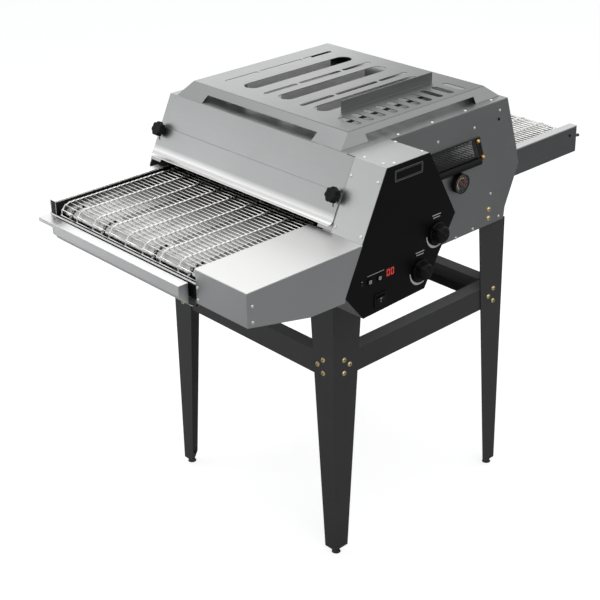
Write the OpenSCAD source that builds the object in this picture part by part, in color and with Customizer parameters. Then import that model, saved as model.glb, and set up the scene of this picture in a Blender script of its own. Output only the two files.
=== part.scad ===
// Conveyor oven on a leg stand. Millimetres, +Z up, origin on the floor under the middle.
// The belt runs along X: the in-feed end is at -X, the out-feed end at +X, the control panel at -Y.

/* [Belt] */
// Width of the wire belt across its strands
belt_w = 486; // [400:1:540]
// Distance from one strand to the next
belt_pitch = 12.7; // [12:0.1:13.4]
// Diameter of the belt wire
wire_d = 2.4; // [1.8:0.1:3]
// Number of strand gaps in one straight run
belt_gaps = 91; // [84:1:98]
// Height of the upper run above the floor
belt_z = 860; // [800:1:920]
// Number of link rows across the belt
link_rows = 9; // [6:1:11]
// Teeth on the wheels that carry the belt
wheel_teeth = 12; // [10:2:14]
// Offset of the belt from the middle of the body
belt_offset = -9; // [-14:1:0]
// Drive shaft ahead of the middle of the body
drive_reach = 617; // [580:1:660]

/* [Conveyor frame] */
// Gap between the belt edge and the side members
belt_side_gap = 7; // [4:0.5:12]
// Thickness of the side members
side_t = 2; // [1.5:0.1:3]
// Width of the folded channel on the side members
cap_w = 22; // [20:1:30]
// Side members above the upper run
side_rise = 9; // [6:0.5:14]
// Side members below the return run
side_drop = 11; // [9:0.5:16]
// Crumb tray runners below the return run
runner_drop = 27; // [25:0.5:32]
// Width of the crumb tray runners
runner_w = 12; // [8:1:16]
// Belt wrap to the in-feed end of the side members
end_room = 6.3; // [5:0.1:12]
// Height of the end plates above their lower edge
end_plate_h = 36; // [18:1:44]
// Radius of the belt shafts
shaft_r = 8; // [6:0.5:10]
// Radius of the bearing housings
bearing_r = 17; // [15:0.5:19]
// Thickness of the bearing housings
bearing_t = 9; // [6:0.5:12]
// Width of the belt support bars
bar_w = 4; // [3:0.5:6]
// Depth of the belt support bars
bar_h = 12; // [8:0.5:14]
// Bars stand above the landing plates by
plate_drop = 5; // [4:0.5:7]
// Radius of the cross rods
rod_r = 5; // [4:0.5:6]

/* [Body] */
// Side member to the inside face of the side panels
side_room = 17; // [14:0.5:30]
// Thickness of the side panels
panel_t = 2; // [1.5:0.1:3]
// Thickness of the formed sheets
sheet_t = 1.5; // [1:0.1:2]
// Body top above the belt
hood_h = 160; // [145:1:190]
// Half length of the top deck
deck_half = 265; // [250:1:285]
// Outward run of the in-feed face per unit of height
in_slope = 0.48; // [0.42:0.01:0.52]
// Outward run of the out-feed face per unit of height
out_slope = 0.31; // [0.27:0.01:0.36]
// Body base below the belt
base_drop = 150; // [140:1:165]
// In-feed end of the base
base_in = 302; // [295:1:310]
// Out-feed end of the base
base_out = 270; // [262:1:280]
// Height of the steep strip above the base
base_strip = 31; // [20:1:40]
// Slanted mouth opening above the belt
mouth_h = 65; // [50:1:80]
// In-feed face overlaps the control box by
seam_lap = 23; // [12:1:40]
// Exhaust slots in the deck
deck_slots = 7; // [4:1:9]

/* [Vent cover] */
// Height of the vent cover
vent_h = 30; // [24:1:45]
// Half length of its top
vent_half_x = 222; // [205:1:235]
// Half width of its top
vent_half_y = 261; // [245:1:268]
// Run of its end skirts
vent_run_x = 40; // [20:1:42]
// Run of its side skirts
vent_run_y = 17; // [8:1:28]
// Width of the three wide slots
slot_w = 44; // [30:1:54]
// Length of the three wide slots
slot_l = 340; // [280:1:360]
// Distance between the wide slots
slot_pitch = 120; // [104:1:122]
// Width of the narrow slots
narrow_w = 12; // [5:0.5:14]
// Louvre slots beside the front edge
louvre_count = 10; // [6:1:12]
// Width of the louvres
louvre_w = 18; // [10:0.5:20]
// Depth of the flanges under the wide slots
flange_drop = 20; // [12:1:22]
// Height of the upright flange
flange_rise = 25; // [15:1:35]

/* [Heat flaps] */
// Length of a flap along its slope on the in-feed end
in_flap_l = 74; // [66:1:80]
// Length of a flap along its slope on the out-feed end
out_flap_l = 64; // [60:1:70]
// Lower edge of the flaps above the belt
flap_gap = 21; // [18:1:30]
// Travel of the flaps up their slopes
flap_travel = 20; // [10:1:24]
// Radius of the outward curl at the lower edge
curl_r = 14; // [8:1:18]
// Radius of the clamp knobs
clamp_r = 18; // [14:0.5:22]
// Thickness of the clamp knob heads
clamp_t = 15; // [10:0.5:20]
// Radius of the clamp studs
stud_r = 4; // [3:0.5:5]
// Clamp studs in from the ends of the in-feed flap
clamp_inset = 11; // [9:0.5:18]
// Clamp studs in from the ends of the out-feed flap
out_clamp_inset = 62; // [30:1:90]

/* [Control box] */
// Depth of the control box in front of the body
box_depth = 118; // [100:1:140]
// Length of its top edge
box_top_l = 129; // [110:1:160]
// Nose of the panel behind the middle of the body
box_nose = 49; // [30:1:58]
// Height of the in-feed corner below the belt
box_heel = 95; // [85:1:110]
// Lower edge of the panel below the belt
box_foot = 160; // [150:1:175]
// In-feed end of the lower edge
box_foot_in = 335; // [320:1:345]
// Out-feed end of the lower edge
box_foot_out = 145; // [130:1:160]
// Thickness of the front panel
front_t = 2; // [1.5:0.1:3]
// Radius of the two control knobs
dial_r = 25; // [20:0.5:28]
// Height of the control knobs
dial_h = 22; // [16:0.5:28]
// Radius of the control knob spindles
spindle_r = 3; // [2.5:0.1:4]
// Width of a push button
button_w = 11; // [8:0.5:14]
// Press travel of a push button
button_travel = 1.5; // [0.8:0.1:2]
// Width of the rocker switch frame
rocker_w = 36; // [28:1:40]
// Height of the rocker switch frame
rocker_h = 30; // [26:1:36]
// Tilt of the rocker to either side, degrees
rocker_tilt = 8; // [5:0.5:10]

/* [Window and thermometer] */
// Length of the window opening along its lower edge
window_l = 206; // [160:1:215]
// Height of the window opening
window_h = 52; // [40:1:56]
// Lean of the window ends
window_lean = 20; // [8:1:26]
// Thickness of the window glass
glass_t = 4; // [3:0.5:5]
// Radius of the thermometer bezel
dial_case_r = 24; // [20:0.5:25]
// Depth of the thermometer case
dial_case_t = 14; // [12:0.5:20]

/* [Drive] */
// Distance between the drive shaft and the motor shaft
chain_reach = 97; // [88:1:110]
// Tip radius of the sprocket on the drive shaft
driven_r = 24; // [20:0.5:25]
// Tip radius of the sprocket on the motor
driver_r = 16; // [13:0.5:19]
// Height of the chain section
chain_h = 6; // [4:0.5:7]
// Width of the chain
chain_w = 6; // [5:0.5:8]
// Width of the gearbox
gearbox_w = 64; // [54:1:72]
// Depth of the gearbox along the shaft
gearbox_d = 40; // [30:1:44]
// Radius of the motor
motor_r = 27; // [22:0.5:29]
// Length of the motor
motor_l = 58; // [44:1:60]

/* [Crumb tray] */
// Length of the tray behind its handle lip
tray_l = 300; // [260:1:310]
// Depth of the tray
tray_h = 12; // [8:0.5:12.5]
// Reach of the handle lip
lip_reach = 25; // [18:1:34]
// Height of the handle lip above the runners
lip_h = 52; // [34:1:56]

/* [Stand] */
// Distance from the leg corners to the in-feed end, from the middle
leg_in = 298; // [294:1:305]
// Distance from the leg corners to the out-feed end, from the middle
leg_out = 290; // [284:1:296]
// Thickness of the legs
leg_t = 2.5; // [2:0.1:4]
// Width of the side flange at the foot
leg_foot_w = 42; // [36:1:50]
// Width of the side flange at the top
leg_top_w = 94; // [84:1:104]
// Width of the end flange at the foot
leg_end_foot_w = 34; // [32:1:44]
// Width of the end flange at the top
leg_end_top_w = 78; // [68:1:88]
// Leg bottom above the floor
foot_h = 13; // [12:0.5:25]
// Radius of the foot pads
foot_r = 11; // [10:0.5:18]
// Middle of the stand rails above the floor
rail_mid = 505; // [300:1:560]
// Height of the stand rails
rail_h = 58; // [52:1:80]
// Width of the rail flanges
rail_w = 36; // [20:1:44]
// Thickness of the stand rails
rail_t = 2; // [1.5:0.1:3]
// Radius of the stand bolts
bolt_r = 2.5; // [2:0.5:4]
// Thickness of the chassis rails in the body
chassis_t = 10; // [6:0.5:14]

/* [Heaters] */
// Heaters above and heaters below the belt
heater_count = 6; // [3:1:7]
// Distance between the heaters
heater_pitch = 80; // [60:1:80]
// Radius of the heaters
heater_r = 4; // [3:0.5:5]
// Upper heaters above the belt
heater_rise = 104; // [100:1:112]
// Lower heaters below the belt
heater_drop = 88; // [84:1:92]

/* [Hidden] */

// Radial clearance of a turning shaft in its bore
run_fit = 0.05;
// Clearance between sliding or loosely fitted pieces
slide_fit = 0.4;
// Clearance of a fastener in its hole
bolt_fit = 0.3;
// Clearance of a link finger to the next strand
link_fit = 0.3;
// Overshoot of a cutting shape
cut = 1;
// Facets of a round
$fn = 48;
// Facets of the small rounds
round_fn = 24;

// Belt circle, shaft height and the height of the return run
belt_r = belt_pitch / (2 * sin(180 / wheel_teeth));
axle_z = belt_z - belt_r;
return_z = belt_z - 2 * belt_r;
drive_x = -drive_reach;
idler_x = drive_x + belt_gaps * belt_pitch;
wire_r = wire_d / 2;
row_pitch = (belt_w - wire_d) / (link_rows - 1);
wheel_tip = belt_r - wire_r - slide_fit;
wheel_t = 6;
wheel_y = [for (i = [0:3]) belt_offset - belt_w / 2 + wire_r
  + (round(i * (link_rows - 2) / 3) + 0.5) * row_pitch];

// Conveyor frame: inner faces, ends and edges of the side members
conv_half = belt_w / 2 + belt_side_gap;
rear_in = belt_offset + conv_half;
front_in = belt_offset - conv_half;
rear_out = rear_in + cap_w;
front_out = front_in - cap_w;
conv_x0 = drive_x - belt_r - wire_r - end_room;
conv_x1 = idler_x + belt_r + wire_r + end_room + bolt_r;
side_top = belt_z + side_rise;
side_low = return_z - side_drop;
runner_z = return_z - runner_drop;

// Body: side panel faces, heights and the corner points of its outline
body_half = max(rear_out, -front_out) + side_room + panel_t;
panel_in = body_half - panel_t;
top_z = belt_z + hood_h;
base_z = belt_z - base_drop;
in_mid_z = belt_z - 2;
out_mid_z = belt_z - 17;
strip_lean = 4;
in_mid_x = -deck_half - in_slope * (top_z - in_mid_z);
out_mid_x = deck_half + out_slope * (top_z - out_mid_z);
mouth_in_z = belt_z + 12;
body_outline = [[-base_in, base_z], [base_out, base_z], [base_out + strip_lean, base_z + base_strip],
  [out_mid_x, out_mid_z], [deck_half, top_z], [-deck_half, top_z], [in_mid_x, in_mid_z],
  [-base_in - strip_lean, base_z + base_strip]];

// Control box: front plane and the corner points of the panel
box_y = -body_half - box_depth;
heel_z = belt_z - box_heel;
box_outline = [[-box_foot_in, belt_z - box_foot], [-box_foot_out, belt_z - box_foot + 6],
  [-box_nose, in_mid_z], [-deck_half + box_top_l, top_z], [-deck_half, top_z],
  [-deck_half - in_slope * (top_z - heel_z), heel_z]];

// Places on the panel as X and height above the belt
heat_at = [-108, -32];
speed_at = [-159, -104];
display_at = [-253, -77];
plus_at = [-287, -80];
minus_at = [-316, -80];
lamp_at = [-339, -80];
rocker_at = [-284, -131];
plate_at = [-201, 136];
plate_size = [86, 26];
display_size = [26, 20];
lamp_r = 3;

// Window opening and thermometer on the front side panel
window_x0 = -38;
window_z = belt_z + 33;
window_outline = [[window_x0, window_z], [window_x0 + window_l, window_z],
  [window_x0 + window_l - window_lean, window_z + window_h],
  [window_x0 + window_lean, window_z + window_h]];
glass_lap = 16;
glass_rise = 4;
nut_at = [[window_x0 - 8, window_z + 4], [window_x0 + window_l + 8, window_z + 4],
  [window_x0 + window_lean - 8, window_z + window_h - 4],
  [window_x0 + window_l - window_lean + 8, window_z + window_h - 4]];
nut_stud_r = 2;
gauge_x = 96;
gauge_z = belt_z - 6;
needle_pin_r = 1.5;

// Drive: plane of the chain, motor place
chain_y = front_in - side_t - bearing_t - 9;
motor_x = drive_x + chain_reach;
motor_face = chain_y - chain_w / 2 - 12;
cover_y = box_y;

// Stand: leg corner planes, rail heights and the bolt pattern at each flange
leg_y = panel_in - chassis_t;
leg_tab_top = base_z + 50;
leg_top = base_z - 4;
rail_z0 = rail_mid - rail_h / 2;
rail_y = leg_y - leg_t;
rail_notch = 42;
bolt_near = 33;
bolt_far = 51;
bolt_rise = 17;
bolt_pattern = [[bolt_near, bolt_rise], [bolt_far, 0], [bolt_near, -bolt_rise]];
tab_bolt_x = 78;
tab_bolt_z = [base_z + 19, base_z + 42];
tab_start = 30;
foot_at = [15, 12];

// Chamber: liner faces and heaters
liner_t = 1;
upper_y = body_half - 15;
lower_y = leg_y - leg_t - 10;
liner_top = top_z - 35;
liner_low = belt_z + 16;
trough_z = base_z + 28;
trough_top = side_low - 5;
liner_half = deck_half - 10;
upper_heater_z = belt_z + heater_rise;
lower_heater_z = belt_z - heater_drop;
ceramic_r = 7;
heater_x = [for (i = [0:heater_count - 1]) (i - (heater_count - 1) / 2) * heater_pitch];

// Length along a slope for one unit of height
in_stretch = sqrt(1 + in_slope * in_slope);
out_stretch = sqrt(1 + out_slope * out_slope);

// Flaps: distances down each slope from the deck edge, and stud places along Y.
// The plain edge of the out-feed flap lies a little higher than the curled one.
plain_rise = 3;
in_flap_end = (hood_h - flap_gap) * in_stretch;
out_flap_end = (hood_h - flap_gap - plain_rise) * out_stretch;
in_flap_y = [-body_half - seam_lap + 2, body_half - 2];
out_flap_y = [-body_half + 2, body_half - 2];
stud_drop = stud_r + 5;
in_stud = in_flap_end - in_flap_l + stud_drop;
out_stud = out_flap_end - out_flap_l + stud_drop;
stud_l = 14;

// Terminals on their rail and the controller above them, from the deck edge and the belt
terminal_at = [5, -20];
terminal_rail = [140, 8, 35];
terminal_size = [13, 22, 27];
terminal_pitch = 16;
terminal_count = 8;
controller_at = [15, 40];
controller_size = [80, 42, 70];

// Middle of the machine between its outermost pieces
tray_x = conv_x0 - sheet_t - 8;
bolt_head = bolt_r * 1.35;
screw_reach = 22;
knob_gap = 1;
centre_x = (tray_x - lip_reach + conv_x1 + bolt_fit + screw_reach) / 2;
rear_reach = max(body_half + bolt_head, in_flap_y[1] - clamp_inset + clamp_r);
centre_y = (box_y - knob_gap - dial_h + rear_reach) / 2;

// Unit vector along v
function unit(v) = v / norm(v);

// Counter-clockwise convex outline moved inwards by d
function inset(p, d) = [for (i = [0:len(p) - 1]) let (
  n = len(p), e = unit(p[i] - p[(i + n - 1) % n]), f = unit(p[(i + 1) % n] - p[i]),
  a = [-e[1], e[0]], b = [-f[1], f[0]]) p[i] + (a + b) * d / (1 + a * b)];

// Points on an arc about c from angle a0 to a1
function arc(c, r, a0, a1, n) = [for (i = [0:n]) let (a = a0 + (a1 - a0) * i / n) c + r * [cos(a), sin(a)]];

// Outline of a wheel with straight-sided teeth
function wheel_outline(teeth, tip, root) = [for (i = [0:teeth - 1]) for (k = [0:3])
  let (a = (i + [0.04, 0.3, 0.7, 0.96][k] - 0.5) * 360 / teeth, r = k == 1 || k == 2 ? tip : root)
  r * [cos(a), sin(a)]];

// Loop round the two chain sprockets at a height above their tips
function chain_loop(h) = let (a = acos((driven_r - driver_r) / chain_reach)) concat(
  arc([0, 0], driven_r + h, a, 360 - a, 20), arc([chain_reach, 0], driver_r + h, -a, a, 14));

// One finished piece in its colour, with the middle of the machine over the origin
module placed(shade, clear = 1) {
  color(shade, clear) translate([-centre_x, -centre_y, 0]) children();
}

// An X-Z outline drawn out along Y from y0 to y1
module along_y(y0, y1) {
  translate([0, y1, 0]) rotate([90, 0, 0]) linear_extrude(y1 - y0) children();
}

// A Y-Z outline drawn out along X from x0 to x1
module along_x(x0, x1) {
  translate([x0, 0, 0]) rotate([90, 0, 90]) linear_extrude(x1 - x0) children();
}

// A round along Y at a place in X and Z
module pin_y(x, z, r, y0, y1, fn = $fn) {
  translate([x, y1, z]) rotate([90, 0, 0]) cylinder(r = r, h = y1 - y0, $fn = fn);
}

// A block given by its two corners
module block(p, q) {
  translate(p) cube(q - p);
}

// Round-ended slot along X, cut upwards from z
module slot_x(x0, x1, y, z, w, h) {
  block([x0 + w / 2, y - w / 2, z], [x1 - w / 2, y + w / 2, z + h]);
  for (x = [x0 + w / 2, x1 - w / 2]) translate([x, y, z]) cylinder(d = w, h = h, $fn = round_fn);
}

// Frame on a sloped face: X runs down the slope from the deck edge, Z stands out of the face
module on_slope(end) {
  s = end < 0 ? in_slope : out_slope;
  l = sqrt(1 + s * s);
  multmatrix([[end * s / l, 0, end / l, end * deck_half], [0, end, 0, 0], [-1 / l, 0, s / l, top_z]])
    children();
}

// Leg corner X at an end
function leg_x(end) = end < 0 ? -leg_in : leg_out;

// Tapered angle leg at an end and a side, with its foot gusset and top tab
module leg(end, side) {
  tab_end = leg_top_w;
  placed("#38383a") difference() {
    translate([leg_x(end), side * leg_y, 0]) scale([-end, -side, 1]) union() {
      along_y(0, leg_t) polygon([[0, foot_h], [leg_foot_w, foot_h], [tab_end, leg_top],
        [tab_end, leg_tab_top], [tab_start, leg_tab_top], [tab_start, leg_top], [0, leg_top]]);
      along_x(0, leg_t)
        polygon([[0, foot_h], [leg_end_foot_w, foot_h], [leg_end_top_w, leg_top], [0, leg_top]]);
      translate([0, 0, foot_h]) linear_extrude(leg_t) polygon([[0, 0], [leg_foot_w, 0], [leg_foot_w, leg_t],
        [leg_t, leg_end_foot_w], [0, leg_end_foot_w]]);
    }
    rail_bolt_axes(end, side) translate([0, 0, -cut]) cylinder(r = bolt_r + bolt_fit, h = leg_t + 2 * cut);
    for (z = tab_bolt_z) pin_y(leg_x(end) - end * tab_bolt_x, z, bolt_r + bolt_fit,
      side * leg_y - leg_t - cut, side * leg_y + leg_t + cut);
    translate([leg_x(end) - end * foot_at[0], side * (leg_y - foot_at[1]), foot_h - cut])
      cylinder(r = bolt_r + 1 + bolt_fit, h = leg_t + 2 * cut);
  }
}

// Axes of the six bolts at a leg's two flanges, +Z pointing into the leg from its outer face
module rail_bolt_axes(end, side) {
  for (b = bolt_pattern) {
    translate([leg_x(end) - end * b[0], side * leg_y, rail_mid + b[1]]) rotate([side * 90, 0, 0])
      children();
    translate([leg_x(end), side * (leg_y - b[0]), rail_mid + b[1]]) rotate([0, -end * 90, 0]) children();
  }
}

module leg_infeed_front() { leg(-1, -1); }
module leg_infeed_rear() { leg(-1, 1); }
module leg_outfeed_front() { leg(1, -1); }
module leg_outfeed_rear() { leg(1, 1); }

// Holes for every bolt that passes through the stand rails
module rail_holes() {
  for (end = [-1, 1]) for (side = [-1, 1]) rail_bolt_axes(end, side)
    cylinder(r = bolt_r + bolt_fit, h = leg_t + rail_t + cut);
}

// Front and rear channel rails of the stand
module stand_rails_long() {
  placed("#3c3c3e") difference() {
    for (side = [-1, 1]) scale([1, -side, 1]) {
      block([-leg_in + leg_t, -rail_y, rail_z0], [leg_out - leg_t, -rail_y + rail_t, rail_z0 + rail_h]);
      for (z = [rail_z0, rail_z0 + rail_h - rail_t])
        block([-leg_in + rail_notch, -rail_y, z], [leg_out - rail_notch, -rail_y + rail_w, z + rail_t]);
    }
    rail_holes();
  }
}

// In-feed and out-feed channel rails of the stand
module stand_rails_cross() {
  y = rail_y - rail_t;
  placed("#3c3c3e") difference() {
    for (end = [-1, 1]) translate([leg_x(end) - end * leg_t, 0, 0]) scale([-end, 1, 1]) {
      block([0, -y, rail_z0], [rail_t, y, rail_z0 + rail_h]);
      for (z = [rail_z0, rail_z0 + rail_h - rail_t])
        block([0, -leg_y + rail_notch, z], [rail_w, leg_y - rail_notch, z + rail_t]);
    }
    rail_holes();
  }
}

// Hexagon bolt with washer and nut clamping a stack, +Z into the stack
module clamped_bolt(stack) {
  head = bolt_head;
  translate([0, 0, -head]) cylinder(r = bolt_r * 1.9, h = head, $fn = 6);
  translate([0, 0, -1.2]) cylinder(r = bolt_r * 2.1, h = 1.2, $fn = round_fn);
  translate([0, 0, -head]) cylinder(r = bolt_r, h = head + stack + bolt_r * 1.6, $fn = round_fn);
  translate([0, 0, stack]) cylinder(r = bolt_r * 1.9, h = bolt_r * 1.4, $fn = 6);
}

// Bolts that join the rails to the legs, and the legs to the chassis rails
module stand_bolts() {
  placed("#c9a24a") for (end = [-1, 1]) for (side = [-1, 1]) {
    rail_bolt_axes(end, side) clamped_bolt(leg_t + rail_t);
    for (z = tab_bolt_z) translate([leg_x(end) - end * tab_bolt_x, side * body_half, z])
      rotate([side * 90, 0, 0]) clamped_bolt(panel_t + chassis_t + leg_t);
  }
}

// Levelling feet: pad, threaded stem and lock nuts below and above the leg's gusset
module levelling_feet() {
  nut_h = 5;
  stem_r = bolt_r + 1;
  placed("#2a2a2c") for (end = [-1, 1]) for (side = [-1, 1])
    translate([leg_x(end) - end * foot_at[0], side * (leg_y - foot_at[1]), 0]) {
      cylinder(r1 = foot_r, r2 = foot_r * 0.7, h = foot_h - nut_h - 2);
      cylinder(r = stem_r, h = foot_h + leg_t + 14, $fn = round_fn);
      for (z = [foot_h - nut_h, foot_h + leg_t]) translate([0, 0, z])
        cylinder(r = stem_r * 1.8, h = nut_h, $fn = 6);
    }
}

// Bars inside the side panels that the legs bolt to
module chassis_rails() {
  x0 = -leg_in + tab_start;
  x1 = leg_out - tab_start;
  placed("#8d9092") difference() {
    for (side = [-1, 1]) scale([1, -side, 1])
      block([x0, -panel_in, base_z], [x1, -leg_y, leg_tab_top]);
    for (end = [-1, 1]) for (side = [-1, 1]) for (z = tab_bolt_z)
      pin_y(leg_x(end) - end * tab_bolt_x, z, bolt_r + bolt_fit, side * panel_in - chassis_t - cut,
        side * panel_in + chassis_t + cut);
  }
}

// Folded pan that closes the underside between the chassis rails
module base_pan() {
  y = leg_y - leg_t;
  rise = tab_bolt_z[0] - base_z - bolt_r * 1.9 - 1;
  placed("#9a9d9f") {
    difference() {
      along_y(-y, y) polygon(body_outline);
      along_y(-y - cut, y + cut) polygon(inset(body_outline, sheet_t));
      block([in_mid_x, -body_half, runner_z - 4], [out_mid_x, body_half, top_z + cut]);
    }
    for (side = [-1, 1]) scale([1, -side, 1])
      block([-base_in + 6, -y, base_z + sheet_t / 2], [base_out - 6, -y + sheet_t, base_z + rise]);
  }
}

// Hexagonal side wall; a front wall carries the window and the thermometer
module side_panel(side) {
  y0 = side < 0 ? -body_half : panel_in;
  placed("#8f9294") difference() {
    along_y(y0, y0 + panel_t) polygon(inset(body_outline, sheet_t));
    for (end = [-1, 1]) for (z = tab_bolt_z) pin_y(leg_x(end) - end * tab_bolt_x, z, bolt_r + bolt_fit,
      y0 - cut, y0 + panel_t + cut);
    if (side < 0) {
      along_y(y0 - cut, y0 + panel_t + cut) polygon(window_outline);
      for (p = nut_at) pin_y(p[0], p[1], nut_stud_r + bolt_fit, y0 - cut, y0 + panel_t + cut, round_fn);
      pin_y(gauge_x, gauge_z, 4 + bolt_fit, y0 - cut, y0 + panel_t + cut, round_fn);
    }
  }
}

module side_panel_front() { side_panel(-1); }
module side_panel_rear() { side_panel(1); }

// Mouth above the belt and the stud holes, cut through a sloped end face
module end_face_cuts(end, stud, studs_y) {
  l = end < 0 ? in_stretch : out_stretch;
  on_slope(end) {
    block([(hood_h - mouth_h) * l, min(end * front_out, end * rear_out), -sheet_t - cut],
      [hood_h * l, max(end * front_out, end * rear_out), cut]);
    for (y = studs_y) translate([stud, end * y, -sheet_t - cut])
      cylinder(r = stud_r + run_fit, h = sheet_t + 2 * cut);
  }
}

// Top deck with its exhaust slots, folded down into the two sloped end faces
module body_cover() {
  slot_half = 150;
  slot_y = 52;
  x_in = -deck_half - in_slope * (top_z - mouth_in_z);
  x_out = deck_half + out_slope * (top_z - mouth_in_z);
  outer = [[x_in, mouth_in_z], [x_out, mouth_in_z], [deck_half, top_z], [-deck_half, top_z]];
  inner = inset(outer, sheet_t);
  in_sheet = [outer[0], outer[0] + [sheet_t * in_stretch, 0], inner[3], outer[3]];
  out_sheet = [inner[2], outer[1] - [sheet_t * out_stretch, 0], outer[1], outer[2]];
  placed("#a6a9ab") difference() {
    union() {
      along_y(-body_half, body_half)
        polygon(concat([in_sheet[0], in_sheet[1], in_sheet[2]], out_sheet, [in_sheet[3]]));
      along_y(-body_half - seam_lap, -body_half + cut) polygon(in_sheet);
    }
    for (i = [0:deck_slots - 1]) slot_x(-slot_half, slot_half, (i - (deck_slots - 1) / 2) * slot_y,
      top_z - sheet_t - cut, 14, sheet_t + 2 * cut);
    end_face_cuts(-1, in_stud, [in_flap_y[0] + clamp_inset, in_flap_y[1] - clamp_inset]);
    end_face_cuts(1, out_stud, [out_flap_y[0] + out_clamp_inset, out_flap_y[1] - out_clamp_inset]);
  }
}

// Closed frustum standing on the deck, moved inwards by d
module vent_block(d) {
  h = vent_h - d;
  x = vent_half_x - d;
  y = vent_half_y - d;
  z = top_z + h;
  low = top_z - (d > 0 ? cut : 0);
  drop = z - low;
  intersection() {
    along_y(-body_half, body_half) polygon([[x, z], [-x, z], [-x - vent_run_x * drop / h, low],
      [x + vent_run_x * drop / h, low]]);
    along_x(-deck_half - vent_run_x, deck_half + vent_run_x) polygon([[y, z], [-y, z],
      [-y - vent_run_y * drop / h, low], [y + vent_run_y * drop / h, low]]);
  }
}

// Louvred cover with three wide slots, narrow slots between them and openings in its skirts
module vent_cover() {
  top = top_z + vent_h;
  low = top - sheet_t - cut;
  deep = sheet_t + 2 * cut;
  slot_y = [for (i = [-1:1]) slot_pitch * i + 10];
  narrow_y = [for (i = [0:2]) slot_y[i] + slot_pitch * [0.42, 0.45, 0.6][i]];
  narrow_x = slot_l * [-0.52, -0.19, 0.23, 0.53];
  front_y = slot_y[0] - slot_w / 2;
  louvre_y = [-vent_half_y + 15, front_y - 50];
  upstand_y = front_y - 23;
  vent_open_y = 186;
  vent_open_x = 178;
  open_h = vent_h / 2;
  placed("#b3b5b6") {
    difference() {
      vent_block(0);
      vent_block(sheet_t);
      for (y = slot_y) slot_x(-slot_l / 2, slot_l / 2, y, low, slot_w, deep);
      for (y = narrow_y) for (i = [0:2])
        slot_x(narrow_x[i] + 4, narrow_x[i + 1] - 4, y, low, narrow_w, deep);
      for (i = [0:louvre_count - 1]) translate([(i / (louvre_count - 1) - 0.5) * slot_l, 0, 0])
        rotate([0, 0, 90]) slot_x(louvre_y[0], louvre_y[1], 0, low, louvre_w, deep);
      block([-deck_half - vent_run_x, -vent_open_y, top_z - cut],
        [deck_half + vent_run_x, vent_open_y, top_z + open_h]);
      block([-vent_open_x, -body_half, top_z - cut], [vent_open_x, body_half, top_z + open_h]);
    }
    for (y = slot_y) block([-slot_l / 2 + slot_w / 2, y + slot_w / 2, top - sheet_t - flange_drop],
      [slot_l / 2 - slot_w, y + slot_w / 2 + sheet_t, top - sheet_t / 2]);
    block([-slot_l * 0.41, upstand_y - sheet_t, top - sheet_t / 2],
      [slot_l * 0.47, upstand_y, top + flange_rise]);
  }
}

// Inverted trough over the belt with flanges on the side panels
module upper_liner() {
  y = upper_y;
  placed("#84878a") difference() {
    along_x(-liner_half, liner_half) polygon([[-panel_in, liner_low], [-y + liner_t, liner_low],
      [-y + liner_t, liner_top - liner_t], [y - liner_t, liner_top - liner_t], [y - liner_t, liner_low],
      [panel_in, liner_low], [panel_in, liner_low + liner_t], [y, liner_low + liner_t], [y, liner_top],
      [-y, liner_top], [-y, liner_low + liner_t], [-panel_in, liner_low + liner_t]]);
    along_y(-y - cut, -y + liner_t + cut) polygon(inset(window_outline, -3));
    heater_axes(upper_heater_z)
      cylinder(r = heater_r + bolt_fit, h = 2 * body_half, center = true, $fn = round_fn);
  }
}

// Trough under the belt with flanges on the side panels
module lower_liner() {
  y = lower_y;
  placed("#7b7e81") difference() {
    along_x(-liner_half, liner_half) polygon([[-panel_in, trough_top], [-panel_in, trough_top - liner_t],
      [-y, trough_top - liner_t], [-y, trough_z], [y, trough_z], [y, trough_top - liner_t],
      [panel_in, trough_top - liner_t], [panel_in, trough_top], [y - liner_t, trough_top],
      [y - liner_t, trough_z + liner_t], [-y + liner_t, trough_z + liner_t], [-y + liner_t, trough_top]]);
    heater_axes(lower_heater_z)
      cylinder(r = heater_r + bolt_fit, h = 2 * body_half, center = true, $fn = round_fn);
  }
}

// Mineral wool slab between the upper liner and the deck
module insulation() {
  placed("#d8d2c0")
    block([-liner_half + 15, -upper_y + 10, liner_top], [liner_half - 15, upper_y - 10, top_z - 10]);
}

// Axes of a row of heaters at a height
module heater_axes(z) {
  for (x = heater_x) translate([x, 0, z]) rotate([90, 0, 0]) children();
}

// One row of rod heaters with a ceramic end outside each liner wall
module heater_row(z, y) {
  ceramic_l = 8;
  heater_axes(z) {
    cylinder(r = heater_r, h = 2 * (y + ceramic_l), center = true, $fn = round_fn);
    for (s = [-1, 1]) translate([0, 0, s * (y + ceramic_l / 2)])
      cylinder(r = ceramic_r, h = ceramic_l, center = true, $fn = round_fn);
  }
}

module upper_heaters() { placed("#b98d6a") heater_row(upper_heater_z, upper_y); }
module lower_heaters() { placed("#b98d6a") heater_row(lower_heater_z, lower_y); }

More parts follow.
